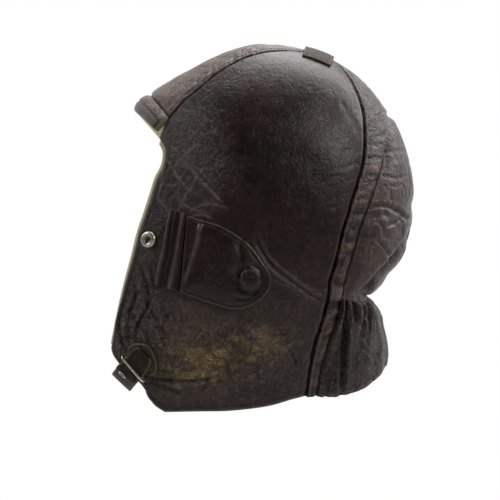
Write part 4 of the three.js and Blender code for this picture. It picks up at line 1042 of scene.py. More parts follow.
# Two broad folds across the back, at turns of 12.5 and -7.5 degrees, take some of the puff.
back_turn = back_places[..., 0]
fold_share = (1 - 0.50 * bell(back_turn, 2.2, 12.5)) * (1 - 0.35 * bell(back_turn, 2.4, -7.5))
share = np.linspace(0, 2, back_columns)[None, :]
gather = np.cos(share * np.pi * 8 + 2.0 * np.sin(share * 9)) * (0.75 + 0.25 * np.cos(share * 21))
near_waist = bell(to_waist, 17) * roll_off(to_side, 5)
hollow, lip = folds(back_points, back_creases)
back_rise = (back_puff * roll_off(to_seam, puff_roll) * roll_off(to_waist, 5) * fold_share
             - 0.9 * bell(to_seam, 0.8) + 1.5 * gather * near_waist
             + roll_off(to_side, 8) * (0.9 * lumps(back_points, 34, 71) + 0.45 * lumps(back_points, 13, 72)
                                      - 0.60 * furrows(back_points, 14, 0.10, 73)
                                      - 0.30 * furrows(back_points, 7, 0.12, 74)) - 2.0 * hollow + 1.8 * lip)
# Paler on the crease lips, the gathers, in lumps and along the creases, partly wear and partly painted
# highlight; painted shade darkens the seams, the crease hollows and the creases, less on the gathers.
back_traits = {
    "rub_and_highlight": np.clip(0.34 + 0.9 * lip - 0.4 * hollow + 0.25 * gather * near_waist
                   + 0.35 * lumps(back_points, 15, 76) + 0.3 * furrows(back_points, 14, 0.16, 73), 0, 1),
    "deep": np.clip(0.95 * bell(to_seam, 0.9) + 0.45 * hollow
                    + 0.5 * furrows(back_points, 14, 0.08, 73) - 0.6 * gather * near_waist, 0, 1),
    "busy": np.clip(0.26 + 0.30 * lumps(back_points, 26, 75), 0.1, 0.9)}
points, faces, index = skin(back_places, back_rise, leather_wall)
back = make_piece("back_panel_leather", points, faces, panel_leather,
                  spread(back_traits, back_rise.shape, index))
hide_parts("back_panel")


# Neck skirt: the lower back, gathered on to the drawn-in nape and left to flare over the collar. Deep
# folds start at the gathers and open out towards the stitched hem.
skirt_gather = 2.8
skirt_at, skirt_columns, skirt_stitch = np.linspace(waist_row, last_row, 100), 221, 5.5
skirt_crests = through_rows(back_rows[:, 4], skirt_at)
skirt_places = crossing(edge_at(skirt_at), skirt_crests, skirt_columns)
skirt_points = form_point(skirt_places)
to_waist, to_hem, to_side = grid_edges(skirt_points)
share = np.linspace(0, 2, skirt_columns)[None, :]
down = ((skirt_at - waist_row) / (last_row - waist_row))[:, None]
wave = 0.5 - 0.5 * np.cos(share * 5 * 2 * np.pi + 0.9 * np.sin(share * 7.3) + 0.5 * down)
fine = np.cos(share * 62 + 3.0 * np.sin(share * 11 + 2 * down)) * bell(down, 0.33)
top = (0.25 + 0.75 * roll_off(to_waist, 7)) * (1 - 0.62 * down)
skirt_creases = [
    ([(97, -40), (98, -66), (96, -100), (94, -150)], 3.2, 1.9),
    ([(84, -112), (80, -130), (78, -150)], 1.0, 1.3),
    ([(104, -44), (107, -58), (108, -72)], 1.9, 1.4), ([(112, -44), (117, -58), (120, -72)], 1.7, 1.3),
    ([(90, -44), (90, -58), (86, -74)], 1.6, 1.3), ([(119, -48), (127, -60), (132, -74)], 1.3, 1.3),
    ([(101, -70), (104, -82), (104, -96)], 0.8, 1.4), ([(124, -96), (130, -104), (134, -114)], 0.5, 1.2),
    ([(110, -92), (122, -102), (130, -118)], 0.4, 1.2), ([(108, -122), (120, -118), (132, -108)], 0.4, 1.2)]
deep_fold, fold_lip = folds(skirt_points, skirt_creases)
deep_fold = deep_fold * roll_off(to_waist, 2)
skirt_rise = (skirt_gather * (0.3 + 0.7 * wave) * top + 2.4 * fine * roll_off(to_waist, 2.5)
              - deep_fold + fold_lip - 0.8 * bell(to_side, 0.7) - 0.9 * bell(to_waist, 1.8)
              + roll_off(to_side, 6) * (0.5 * lumps(skirt_points, 17, 81) + 0.25 * lumps(skirt_points, 7, 83)
                                       - 0.42 * furrows(skirt_points, 10, 0.11, 82)))
skirt_rise = skirt_rise - 0.45 * bell(to_hem, 0.8, skirt_stitch)
# The gather ridges and the tops of the flare are painted paler as a highlight, and the hem's edge from wear;
# painted shade darkens the deep folds, the sides and the waist, less on the gather ridges.
skirt_traits = {
    "rub_and_highlight": np.clip(0.16 + 0.9 * fine + 0.35 * (wave - 0.4) * top + 0.5 * bell(to_hem, 1.4, 2), 0, 1),
    "deep": np.clip(0.5 * deep_fold + 0.9 * bell(to_side, 0.9) - 0.7 * fine
                    + 0.9 * bell(to_waist, 2.2), 0, 1),
    "busy": 0.8}
points, faces, index = skin(skirt_places, skirt_rise, leather_wall)
skirt_skin = points[:skirt_rise.size].reshape(skirt_points.shape)
hem_line, hem_up = follow(skirt_skin[::-1].swapaxes(0, 1), skirt_places[::-1].swapaxes(0, 1),
                          to_hem[::-1].T, skirt_stitch)
# One row runs from side to side, so it isn't mirrored.
stitching("skirt_stitches", [(hem_line[2:-2], hem_up[2:-2])], olive_thread, 3.0,
          sides=halves[:1])
skirt = make_piece("neck_skirt_leather", points, faces, panel_leather,
                   spread(skirt_traits, skirt_rise.shape, index))
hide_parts("neck_skirt")


# Brow band: a padded roll of leather along the brow, folded over and stitched down beside the crown
# panel. A short stitched tack of olive webbing holds each end.
band_puff, band_thickness, band_crest = 3.0, 3.2, 134.0
brow_low = place_behind(np.array([[-0.300, 0.327]]))
band_top = crossing(crown_sides[:1], np.array([brow_crest]), 121)[0]
band_low = crossing(brow_low, np.array([band_crest]), 121)[0]
band_share = np.linspace(0, 1, 34)[:, None]
band_places = band_top * (1 - band_share[..., None]) + band_low * band_share[..., None]
band_points = form_point(band_places)
band_wrinkle = lumps(band_points, 6, 91) + 0.5 * lumps(band_points, 2.6, 92)
# The band is two rolls, parted by its line of stitching.
band_groove = 0.56
band_rise = (band_puff * np.sin(np.pi * np.clip(band_share, 0.001, 0.999)) ** 0.7
             - 0.9 * bell(band_share, 0.045, band_groove) + 0.16 * band_wrinkle
             - 0.5 * bell(band_share, 0.06))
# The band is painted pale like the crown as a painted sheen, paler on its lower roll; painted shade darkens
# its edge by the crown and the stitched groove.
band_traits = {
    "rub_and_highlight": np.clip(0.70 + 0.35 * band_wrinkle + 0.5 * bell(band_share, 0.08, 0.68), 0, 1),
    "deep": np.clip(0.9 * bell(band_share, 0.05) + 0.8 * bell(band_share, 0.03, band_groove), 0, 1)}
points, faces, index = sheet_wall(
    head_point(band_places, band_rise), head_point(band_places, -band_thickness / 2), 0.6)
band = make_piece("brow_band_leather", points, faces, panel_leather,
                  spread(band_traits, band_rise.shape, index))
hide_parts("brow_band")


# Crown tab: a narrow loop of doubled leather over the rear end of the crown panel, sewn down at both
# ends, that carries the strap of the goggles.
tab_width, tab_length, tab_thickness, tab_turn = 22.0, 64.0, 1.8, 65.3
strap_leather = leather("waxed_strap_leather", "#0f0a08", "#211711", 0.48, 0.15, 0.60, 0.22, "#80743f")
fit_gap = 0.4


def over_strip(line, width, rows, columns):
    """Grid of places over a strip laid along a line of places, with its width across the line."""
    length = run_length(form_point(line))
    line = read_at(np.linspace(0, length[-1], rows), length, line)
    return np.stack([beside(line, width * shift) for shift in np.linspace(-0.5, 0.5, columns)], 1)


tab_end = climb_aside(tab_length / 2)
tab_line = np.stack([np.full(41, tab_turn), np.linspace(tab_end, 180 - tab_end, 41)], -1)
tab_steps, tab_arch = 60, 0.8
tab_places = over_strip(tab_line, tab_width, tab_steps, 26)
tab_points = form_point(tab_places)
to_end, to_other, to_side = grid_edges(tab_points)
ends = np.minimum(to_end, to_other)
to_edge = np.minimum(to_side, ends)
tab_share = np.linspace(0, 1, tab_steps)[:, None]
tab_rise = (panel_puff + fit_gap + tab_thickness + tab_arch * np.sin(np.pi * tab_share)
            - 0.35 * bell(to_side, 0.7, 2.2) - 0.35 * bell(ends, 0.7, 2.6) + 0.14 * lumps(tab_points, 6, 95))
# The edges are paler from wear and show the olive tan of the cut edge; painted shade darkens the stitched
# grooves along its sides.
tab_traits = {
    "rub_and_highlight": 0.10 + 0.4 * bell(to_edge, 0.9),
    "tan": 0.45 * bell(to_edge, 1.1),
    "deep": 0.5 * bell(to_side, 0.6, 2.2)}
points, faces, index = skin(tab_places, tab_rise, tab_thickness, 0.6)
tab = make_piece("crown_tab_leather", points, faces, strap_leather,
                 spread(tab_traits, tab_rise.shape, index))
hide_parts("crown_tab")


# Ear flaps: a D-shaped flap of smoother, darker leather over each ear, edged with a narrow turned hem
# and one row of stitching, with a dent where the snap cap pulls it down.
flap_thickness, flap_puff, flap_lift, flap_stitch = 2.0, 1.2, 0.7, 3.4
flap_rows = np.array([
    [-0.183, 0.088], [-0.133, 0.076], [-0.083, 0.063], [-0.033, 0.041], [0.017, 0.010],
    [0.050, -0.027], [0.080, -0.066], [0.081, -0.096], [0.057, -0.126], [0.017, -0.148],
    [-0.033, -0.156], [-0.083, -0.147], [-0.133, -0.134], [-0.205, -0.112]])
flap_centre = np.array([-0.070, -0.040])
cap_spot = np.array([0.018, -0.078])
chart_size = np.array([helmet_depth, helmet_height])
flap_leather = leather("smooth_calf_leather", "#100807", "#22120f", 0.26, 0.03, 0.35, 0.42, "#80743f")


def closed_line(rows, count, straight):
    """Side-view outline: a smooth curve through the rows, closed by a straight edge."""
    curve = smooth_line(rows * chart_size, count) / chart_size
    share = np.linspace(0, 1, straight + 1)[1:-1, None]
    return np.concatenate([curve, curve[-1] + (curve[0] - curve[-1]) * share])


def sewn_rings(centre, outline, shares):
    """Rings of places from a centre out to a side-view outline."""
    return place_behind(centre + (outline[None] - centre) * shares[:, None, None])


def sewn_piece(name, centre, outline, shares, thickness, lift, shape, finish):
    """Flat piece sewn on the side panel: rings raised by lift and by shape(points, distance from the
    edge), closed below at lift alone, on the left and mirrored on the right."""
    rings = sewn_rings(centre, outline, shares)
    flat = form_point(rings)
    from_edge = np.linalg.norm(flat - flat[-1:], axis=-1)
    rise, traits = shape(flat, from_edge)
    base = side_puff(rings) + lift
    low = sewn_rings(centre, outline, np.array([0.3, 0.7, 1.0]))
    middle = place_behind(centre)
    middle_base = side_puff(middle) + lift
    outer = head_point(rings, base + thickness + rise)
    points, faces = ring_wall(outer, head_point(low, side_puff(low) + lift), 0.6,
                              head_point(middle, middle_base + thickness + rise[0].mean()),
                              head_point(middle, middle_base))
    mirrored(name, "leather", points, faces, finish,
             filled(traits, rise.shape, len(points), 0.3))
    return outer, rings, from_edge


def flap_shape(points, from_edge):
    """Crowned 1.2 mm, pressed along its stitching, dented round the cap, with a soft upright fold
    before it and a welt along its front."""
    spots = points[..., 1:]
    cap = np.linalg.norm(spots - cap_spot * chart_size, axis=-1)
    hollow, lip = folds(points, [
        ([(-7, 12), (-4, 0), (-3, -14), (-7, -27)], 1.2, 2.6),
        ([(-12, -44), (-2, -47), (8, -46)], 0.4, 1.6),
        ([(4, -14), (10, -16), (16, -21)], 0.5, 1.2)])
    welt, _ = folds(points, [([(-40, 36), (-45, 8), (-53, -18), (-61, -42)], 1.5, 1.5)])
    crown = flap_puff * roll_off(from_edge, 9)
    hem = -0.20 * bell(from_edge, 0.6, flap_stitch) - 0.30 * bell(from_edge, 0.5)
    dent = -0.8 * bell(cap, 3.2, 9.5)
    rise = (crown + hem + dent * roll_off(from_edge, 4) - hollow + lip + welt
            + 0.16 * lumps(points, 18, 101) - 0.06 * furrows(points, 9, 0.12, 102))
    # The cut rim and the crease lips are paler, and the welt's crest is painted paler as a highlight; painted
    # shade darkens the stitching groove, the fold's hollow and a ring round the cap.
    traits = {
        "rub_and_highlight": np.clip(0.05 + 0.55 * bell(from_edge, 0.5, 0.4) + 0.4 * lip
                       + 1.4 * np.clip(welt - 0.9, 0, 1), 0, 1),
        # None on the face, so that only the cut rim is tan.
        "tan": 0.0,
        "busy": 0.25,
        "deep": np.clip(0.5 * bell(from_edge, 0.6, flap_stitch) + 0.3 * hollow
                        + 0.7 * bell(cap, 1.1, 8.6), 0, 1)}
    return rise, traits


flap_line = closed_line(flap_rows, 170, 60)
flap_shares = np.concatenate([np.linspace(0.03, 0.78, 34), np.linspace(0.80, 1, 26)])
flap_skin, flap_places, flap_from_edge = sewn_piece(
    "ear_flap", flap_centre, flap_line, flap_shares, flap_thickness, flap_lift, flap_shape, flap_leather)
flap_thread = woven("waxed_drab_thread", "#3a302a", "#6e6358", *thread_weave)
flap_rows_in = flap_skin[::-1].swapaxes(0, 1), flap_places[::-1].swapaxes(0, 1), flap_from_edge[::-1].T
line, up = follow(*flap_rows_in, flap_stitch - 0.1)
stitching("flap_stitches", [(line[2:168], up[2:168])], flap_thread, 3.0, wide=0.45)


# Flap pleats: the front of the flap is folded into two upright welts and tacked down at both ends, so
# that it can stand off over an earphone.
pleat_corners = np.array([[-0.237, 0.107], [-0.187, 0.093], [-0.212, -0.110], [-0.286, -0.091]])
pleat_thickness, pleat_height = 1.4, 2.6
down, across = np.linspace(0, 1, 90)[:, None, None], np.linspace(0, 1, 44)[None, :, None]
pleat_spots = ((pleat_corners[0] * (1 - across) + pleat_corners[1] * across) * (1 - down)
               + (pleat_corners[3] * (1 - across) + pleat_corners[2] * across) * down)
pleat_places = place_behind(pleat_spots)
pleat_points = form_point(pleat_places)
share, fall = across[..., 0], down[..., 0]
share = share + 0.012 * np.sin(fall * 9)
second = 0.84 - 0.20 * fall
welt = (0.85 * bell(share, 0.09, 0.08) + 1.0 * bell(share, 0.11, second)
        + 0.35 * bell(share, 0.14, 0.42))
tacked = 0.55 + 0.45 * roll_off(fall, 0.13) * roll_off(1 - fall, 0.11)
pleat_rise = (side_puff(pleat_places) + flap_lift + pleat_thickness
              + pleat_height * welt * tacked + 0.22 * lumps(pleat_points, 9, 111))
# The welts' crests are painted paler as a highlight; painted shade darkens the valleys beside the welts, the
# back edge and a slanting line.
pleat_traits = {
    "rub_and_highlight": (np.clip(1.1 * bell(share, 0.05, 0.08) + 1.2 * bell(share, 0.06, second), 0, 1)
            * (0.8 + 0.2 * lumps(pleat_points, 6, 112))),
    "tan": 0.25 * bell(share, 0.05, 0.02),
    "deep": np.clip(0.75 * bell(share, 0.07, 0.24) + 0.8 * bell(share, 0.06, 1.0)
                    + 0.5 * bell(share - 0.62 + 0.15 * fall, 0.05), 0, 1),
    "busy": 0.3}
points, faces, index = sheet_wall(
    head_point(pleat_places, pleat_rise),
    head_point(pleat_places, side_puff(pleat_places) + flap_lift - 0.3), 0.5)
mirrored("flap_pleat", "leather", points, faces, flap_leather,
         spread(pleat_traits, pleat_rise.shape, index))


# Snap caps: the flap closes with a press fastener whose domed cap is covered in the same leather,
# pleated under its rim.
cap_radius, cap_height = 8.3, 3.6


def turned_pieces(name, stuff, profile, traits, place, rise, count, finish, ripple=0.0):
    """Closed bodies turned about the outward direction of a place and its mirror, from rows of (radius,
    height) and their traits; ripple is the share that the radius gains round the axis."""
    radius, height = profile.T
    angle = np.linspace(0, 2 * np.pi, count, endpoint=False)
    axis = outward(place)
    first = unit(np.cross(axis, np.array([0.0, 0.0, 1.0])))
    second = np.cross(axis, first)
    wide = radius[:, None] * (1 + ripple * np.ones(count))
    rings = (head_point(place, rise) + axis * height[:, None, None]
             + (wide * np.cos(angle))[..., None] * first + (wide * np.sin(angle))[..., None] * second)
    rings, low, high = rings[1:-1], rings[0, 0], rings[-1, 0]
    rows, j = len(rings), np.arange(count)
    last = (rows - 1) * count
    faces = [ring_faces(rows, count),
             np.stack([np.full(count, rows * count), (j + 1) % count, j], -1),
             np.stack([np.full(count, rows * count + 1), last + j, last + (j + 1) % count], -1)]
    mirrored(name, stuff, np.concatenate([rings.reshape(-1, 3), [low], [high]]), faces, finish, {
        key: np.concatenate([np.repeat(value[1:-1], count), value[[0, -1]]])
        for key, value in traits.items()})


dome = np.linspace(0, np.pi / 2, 22)
cap_rim, cap_around = 1.1, 72
cap_dome = np.stack([
    cap_radius * (0.20 + 0.80 * np.cos(dome)), cap_rim + (cap_height - cap_rim) * np.sin(dome) ** 0.9], -1)
cap_profile = np.concatenate([
    [[0, 0]], [[cap_radius * 0.96, 0.0], [cap_radius, 0.35], [cap_radius, 0.9]], cap_dome[1:],
    [[cap_radius * 0.1, cap_height + 0.02], [0, cap_height + 0.03]]])
cap_share = cap_profile[:, 0] / cap_radius
cap_angle = np.linspace(0, 2 * np.pi, cap_around, endpoint=False)
cap_pleats = (0.012 * np.sin(cap_angle * 9) * cap_share[:, None] ** 6
              + 0.008 * np.sin(cap_angle * 17 + 1) * cap_share[:, None] ** 8)
cap_place = place_behind(cap_spot)
turned_pieces("snap_cap", "leather", cap_profile,
              {"rub_and_highlight": 0.05 + 0.12 * bell(cap_share, 0.12, 0.75), "deep": 0.8 * bell(cap_share, 0.16)},
              cap_place, side_puff(cap_place) + flap_lift + flap_thickness + 0.5, cap_around, flap_leather,
              cap_pleats)


# Press studs: nickel-plated brass ring studs beside the face opening, set in the hem, for a mask.
stud_radius = 6.3
stud_spot = np.array([-0.308, 0.027])


def nickel(name, base, rough):
    """Nickel-plated pressed metal: bright and slightly warm, dulled by handling and fine scratches, darkened
    in its hollows, its hole and its foot by painted shade with some dirt."""
    finish, tree, shader, where = material(name)
    shader.inputs["Metallic"].default_value = 1.0
    cloud = node(tree, "ShaderNodeTexNoise", {"Scale": 700.0, "Detail": 4.0}, {"Vector": where})
    shade = node(tree, "ShaderNodeMix", {"data_type": "RGBA", 6: colour(base), 7: colour("#8f8a80")})
    amount = node(tree, "ShaderNodeMapRange", {"From Min": 0.50, "From Max": 0.80}, {0: cloud.outputs["Fac"]})
    tree.links.new(amount.outputs[0], shade.inputs[0])
    # The deep trait darkens the colour with painted shade and some dirt.
    deep = node(tree, "ShaderNodeAttribute", {"attribute_name": "deep"})
    shade_and_dirt_mix = node(tree, "ShaderNodeMix", {"data_type": "RGBA", 7: colour("#1d1712")}, {
        0: deep.outputs["Fac"], 6: shade.outputs[2]})
    tree.links.new(shade_and_dirt_mix.outputs[2], shader.inputs["Base Color"])
    dull = node(tree, "ShaderNodeMapRange", {"To Min": rough, "To Max": rough + 0.2}, {
        0: cloud.outputs["Fac"]})
    tree.links.new(dull.outputs[0], shader.inputs["Roughness"])
    scratch = node(tree, "ShaderNodeTexNoise", {"Scale": 2400.0, "Detail": 2.0}, {"Vector": where})
    bump = node(tree, "ShaderNodeBump", {"Strength": 0.12, "Distance": 0.0002}, {
        "Height": scratch.outputs["Fac"]})
    tree.links.new(bump.outputs[0], shader.inputs["Normal"])
    return finish


steel = nickel("plated_nickel", "#dcd6c8", 0.22)
# Share of the radius and height in millimetres, from the foot over the ring to the sunk socket.
stud_rows = np.array([
    [0, 0], [0.94, 0.0], [1.0, 0.25], [1.0, 0.7], [0.97, 1.3], [0.92, 1.8], [0.86, 2.15], [0.78, 2.35],
    [0.70, 2.4], [0.60, 2.4], [0.53, 2.3], [0.47, 1.9], [0.44, 1.2], [0.40, 0.5], [0.24, 0.35], [0.21, 0.9],
    [0.13, 1.1], [0, 1.15]])
stud_share, stud_high = stud_rows.T
stud_place = place_behind(stud_spot)
# Painted shade, with some dirt, darkens the socket's wall and floor, the inner disc and the foot where it
# meets the leather.
stud_shade_and_dirt = np.clip(0.55 * bell(stud_share, 0.07, 0.42) + 0.95 * bell(stud_share, 0.14)
                     + 0.25 * (stud_share < 0.5) + 0.5 * (stud_high < 0.5) * (stud_share > 0.9), 0, 1)
turned_pieces("press_stud", "nickel", stud_rows * [stud_radius, 1], {"deep": stud_shade_and_dirt},
              stud_place, side_puff(stud_place) + 0.4, 64, steel)


# Strap patches: a D-shaped patch of leather under each end of the chin strap, turned under and stitched.
patch_rows = np.array([
    [-0.374, -0.279], [-0.372, -0.262], [-0.360, -0.250], [-0.333, -0.248], [-0.313, -0.251],
    [-0.299, -0.262], [-0.288, -0.282], [-0.281, -0.310], [-0.286, -0.326], [-0.304, -0.332]])
patch_centre = np.array([-0.333, -0.292])
patch_thickness, patch_lift, patch_groove = 1.6, 0.5, 2.3


def patch_shape(points, from_edge):
    """Flat with a slightly raised edge that is worn paler, and a stitched groove 2.3 mm inside it that is
    darkened with painted shade.
    """
    rise = (0.25 * bell(from_edge, 0.7, 1.0) - 0.35 * bell(from_edge, 0.6, patch_groove)
            + 0.12 * lumps(points, 5, 121))
    return rise, {"rub_and_highlight": 0.2 + 0.7 * bell(from_edge, 0.7, 0.9), "tan": 0.45 * bell(from_edge, 0.5),
                  "deep": 0.5 * bell(from_edge, 0.5, patch_groove)}


sewn_piece("strap_patch", patch_centre, closed_line(patch_rows, 90, 30), np.linspace(0.05, 1, 30),
           patch_thickness - 0.1, patch_lift, patch_shape, flap_leather)


# Chin strap: one band of doubled leather with its raw olive edges showing, from the patch on the left
# cheek through the slide, round under the chin and up to the right cheek.
strap_width, strap_thickness, wire = 19.0, 2.0, 1.8
strap_tip, slide_spot, strap_bend = np.array([[-0.317, -0.272], [-0.350, -0.312], [-0.374, -0.329]])
slide_along = np.array([0.077, -0.060])
# Shares of the half width, the depth and the height, on the way round under the chin.
strap_round = np.array([
    [0.540, -0.393, -0.343], [0.400, -0.403, -0.353], [0.200, -0.409, -0.359], [0.000, -0.411, -0.361]])
strap_turn = (0.12, 0.30)
strap_lift = max(patch_thickness, wire) + 2 * fit_gap + strap_thickness / 2
mirror = np.array([-1.0, 1.0, 1.0])
cheek = head_point(place_behind([strap_tip, slide_spot, strap_bend]), panel_puff + strap_lift)
left_way = np.concatenate([cheek, strap_round * [helmet_width / 2, helmet_depth, helmet_height]])
strap_way = np.concatenate([left_way, left_way[-2::-1] * mirror])
strap_steps, strap_columns = 220, 26
strap_centre = smooth_line(strap_way, strap_steps)
strap_run = unit(np.gradient(strap_centre, axis=0))
slide_ends = form_point(place_behind([slide_spot + slide_along / 2, slide_spot - slide_along / 2]))
cheek_across = unit(slide_ends[0] - slide_ends[1])
chin_across = unit(np.array([0.0, cheek_across[1], cheek_across[2]]))
share = np.linspace(0, 1, strap_steps)
near_end = np.minimum(share, 1 - share)
to_chin = np.clip((near_end - strap_turn[0]) / (strap_turn[1] - strap_turn[0]), 0, 1)
to_chin = eased(to_chin)[:, None]
cheek_way = np.where((share < 0.5)[:, None], cheek_across, cheek_across * mirror)
strap_across = unit(cheek_way * (1 - to_chin) + chin_across * to_chin)
strap_across = unit(strap_across - strap_run * np.sum(strap_across * strap_run, -1, keepdims=True))
strap_up = unit(np.cross(strap_across, strap_run))
# The outer face points away from a spot inside the head.
away = np.sum(strap_up * (strap_centre - np.array([0.0, -40.0, -60.0])), -1, keepdims=True)
strap_up = strap_up * np.sign(away)
# The tips are rounded, and six tenths as wide as the strap.
tip = np.clip(near_end / 0.05, 0, 1)
strap_wide = strap_width * (0.6 + 0.4 * np.sqrt(1 - (1 - tip) ** 2))[:, None]
column = np.linspace(-0.5, 0.5, strap_columns)
from_side = (0.5 - np.abs(column)) * strap_wide
flat_line = np.stack(np.broadcast_arrays(share[:, None] * 250, column * strap_width, 0.0), -1)
strap_crown = (strap_thickness / 2 - 0.30 * bell(from_side, 0.6, 2.0)
               + 0.10 * lumps(flat_line, 5, 131) - 0.2 * bell(from_side, 0.5))
strap_grid = strap_centre[:, None] + strap_across[:, None] * (column * strap_wide)[..., None]
strap_top = strap_grid + strap_up[:, None] * strap_crown[..., None]
strap_low = strap_grid - strap_up[:, None] * strap_thickness / 2
# The raw edges are paler and show the olive tan; painted shade darkens the groove along each edge.
strap_traits = {
    "rub_and_highlight": 0.05 + 0.40 * bell(from_side, 0.7, 1.0),
    "tan": np.clip(1.1 * bell(from_side, 0.45), 0, 1),
    "busy": 0.35,
    "deep": 0.5 * bell(from_side, 0.5, 2.0)}
# The leather is cut away in the eyelet, and the well there is darkened with painted shade.
eyelet_share, eyelet_aside, well_depth = 0.18, 0.12, 0.9
eyelet_at = int(round(eyelet_share * (strap_steps - 1)))
eyelet_radius, eyelet_hole = 3.6, 1.9
eyelet_centre = strap_centre[eyelet_at] - eyelet_aside * strap_width * strap_across[eyelet_at]
well = np.exp(-(np.linalg.norm(strap_top - eyelet_centre, axis=-1) / (eyelet_hole + 0.4)) ** 8)
strap_top = strap_top - strap_up[:, None] * (well_depth * well)[..., None]
strap_traits["deep"] = np.maximum(strap_traits["deep"], well)
points, faces, index = sheet_wall(strap_top, strap_low, 0.35)
strap = make_piece("chin_strap_leather", points, faces, strap_leather,
                   spread(strap_traits, from_side.shape, index))
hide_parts("chin_strap")


# Strap eyelet: a small nickel eyelet, flanged over the leather and open through the strap.
eyelet_axis, eyelet_side = strap_up[eyelet_at], strap_across[eyelet_at]
eyelet_other = np.cross(eyelet_axis, eyelet_side)


def loop_faces(rings, count):
    """Quads between closed rings of points whose last ring joins the first."""
    return ring_faces(rings + 1, count) % (rings * count)


# Radius, height and darkening of the eyelet's section, once round it: painted shade in the hole, with some
# dirt on the flange.
face_height, eyelet_around = strap_thickness / 2, 48
radius, height, eyelet_shade_and_dirt = np.array([
    (eyelet_hole, -face_height, 1), (eyelet_hole + 0.5, -face_height, 1), (eyelet_hole + 0.6, 0.0, 1),
    (eyelet_hole + 0.7, face_height + 0.1, 0.2), (eyelet_radius - 0.3, face_height + 0.05, 0.5),
    (eyelet_radius, face_height + 0.12, 0.3), (eyelet_radius - 0.05, face_height + 0.35, 0),
    (eyelet_radius - 0.5, face_height + 0.60, 0), (eyelet_hole + 0.9, face_height + 0.60, 0),
    (eyelet_hole + 0.4, face_height + 0.45, 0.3), (eyelet_hole + 0.1, face_height + 0.2, 1),
    (eyelet_hole, 0.0, 1)]).T[..., None]
angle = np.linspace(0, 2 * np.pi, eyelet_around, endpoint=False)
rings = (eyelet_centre + eyelet_axis * height[..., None] + eyelet_side * (radius * np.cos(angle))[..., None]
         + eyelet_other * (radius * np.sin(angle))[..., None])
eyelet = make_piece("strap_eyelet_nickel", rings.reshape(-1, 3), [loop_faces(len(rings), eyelet_around)],
                    steel, {"deep": np.repeat(eyelet_shade_and_dirt, eyelet_around)})
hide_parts("strap_eyelet")


# Strap slide: a bright loop of drawn wire round the strap, pressed flat, that takes up its length.
slide_at = int(np.argmin(np.linalg.norm(strap_centre[:strap_steps // 2] - cheek[1], axis=-1)))
slide_across, slide_up = strap_across[slide_at], strap_up[slide_at]
slide_side = np.cross(slide_across, slide_up)
half_length, wire_sides = strap_width / 2 + 2 * fit_gap, 18
bend = strap_thickness / 2 + fit_gap + wire / 2
angle = np.linspace(-np.pi / 2, np.pi / 2, 17)
slide_path = np.concatenate([
    strap_centre[slide_at] + end * (slide_across * (half_length + bend * np.cos(angle))[:, None]
                                    + slide_up * (bend * np.sin(angle))[:, None]) for end in (1, -1)])
slide_run = unit(np.roll(slide_path, -1, axis=0) - np.roll(slide_path, 1, axis=0))
slide_out = np.cross(slide_side, slide_run)
around = np.linspace(0, 2 * np.pi, wire_sides, endpoint=False)
slide_rings = (slide_path[:, None] + slide_side * (wire / 2 * np.cos(around))[None, :, None]
               + slide_out[:, None] * (wire / 2 * np.sin(around))[None, :, None])
slide = make_piece("strap_slide_nickel", slide_rings.reshape(-1, 3),
                   [loop_faces(len(slide_rings), wire_sides)], steel)
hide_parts("strap_slide")


# Lining: cream brushed cotton, cut like the leather and turned out over its edge along the face, where
# it shows as a soft pale border.
lining_reveal, lining_hem, lining_sag = 3.2, 5.0, 20.0
# Brushed cotton twill with a soft nap and age spots 17 mm apart. Its rib is drawn at 1.4 mm, twice as
# coarse as the real one, to show.
lining_cloth = woven("brushed_cotton", "#e2d8b4", "#c9bd93", 0.95, (60.0, 5.0), (230.0, 1.5, 0.35, 0.0004),
                     (1500.0, 0.5, 0.0004))


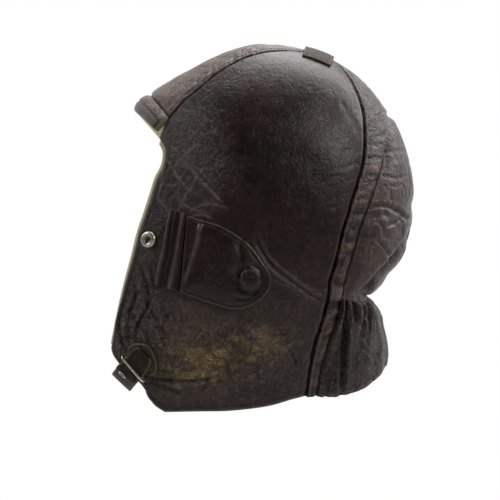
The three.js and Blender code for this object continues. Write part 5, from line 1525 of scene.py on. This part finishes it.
lining_inset = {"face": -lining_reveal, "seam": 0.25, "neck": lining_hem}
lining_shares = np.concatenate([np.linspace(0.05, 0.86, 16), np.linspace(0.90, 1, 8)])
rings = drawn_in(side_border(lining_inset, (60, 8, 50, 90, 60, 24)), lining_shares)
flat = form_point(rings)
from_edge = np.linalg.norm(flat - flat[-1:], axis=-1)
ruck = 0.35 * lumps(flat, 16, 141) + 0.15 * lumps(flat, 5, 142)
sag = -outline_value(2, rings[..., 0]) * lining_sag - lining_drop
outer = head_point(rings, sag + 0.5 * bell(from_edge, 1.6, 1.6))
inner = head_point(rings, sag - lining_wall + ruck * roll_off(from_edge, 6))
middle = np.array([form_point(np.array([0.0, 0.0]))[0] - lining_drop, 0, 0])
points, faces = ring_wall(outer, inner, 0.8, middle, middle - [lining_wall, 0, 0])
linings = mirrored("lining", "cotton", points, faces, lining_cloth)

# The middle lining runs back from the brow in three stretches and ends four rows above the hem.
brow_steps, crown_steps, hem_row = 6, 30, -4
brow_at, crown_at = np.linspace(0, 1, brow_steps)[:-1], np.linspace(0, 1, crown_steps)[:-1]
back_at = np.linspace(0, last_row, 60)
lining_sides = np.concatenate([
    places_along(brow_side, brow_steps)[:-1], crown_seam_line(crown_steps)[:-1], seam_at(back_at)])
lining_crests = np.concatenate([
    band_crest + (brow_crest - band_crest) * brow_at,
    brow_crest + (back_rows[0, 4] - brow_crest) * crown_at,
    through_rows(back_rows[:, 4], back_at)])
places = crossing(beside(lining_sides, lining_inset["seam"])[:hem_row], lining_crests[:hem_row], 45)
flat = form_point(places)
sag = -outline_value(2, places[..., 0]) * lining_sag - lining_drop
ruck = 0.4 * lumps(flat, 18, 143) + 0.15 * lumps(flat, 5, 144)
outer = head_point(places, sag)
points, faces, index = sheet_wall(outer, head_point(places, sag - lining_wall + ruck), 0.6)
lining = make_piece("lining_middle_cotton", points, faces, lining_cloth)
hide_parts("lining_middle")


# Brow tacks: a short bar of olive webbing stitched over each end of the brow band.
tack_rows = np.array([[-0.283, 0.316], [-0.250, 0.348]])
tack_width, tack_thickness = 3.4, 1.6
# Waxed olive cotton webbing, whose threads are 1 mm apart.
olive = woven("waxed_olive_webbing", "#3a3420", "#6f6539", 0.85, (400.0, 4.0), (330.0, 1.0, 0.6, 0.0004))
tack_steps = 30
tack_places = over_strip(places_along(tack_rows, 20), tack_width, tack_steps, 12)
tack_share = np.linspace(0, 1, tack_steps)[:, None]
tack_rise = (panel_puff + fit_gap + tack_thickness + 0.5 * np.sin(np.pi * tack_share)
             + 0.12 * np.sin(tack_share * 60))
points, faces, index = skin(tack_places, tack_rise, tack_thickness, 0.4)
mirrored("brow_tack", "webbing", points, faces, olive)
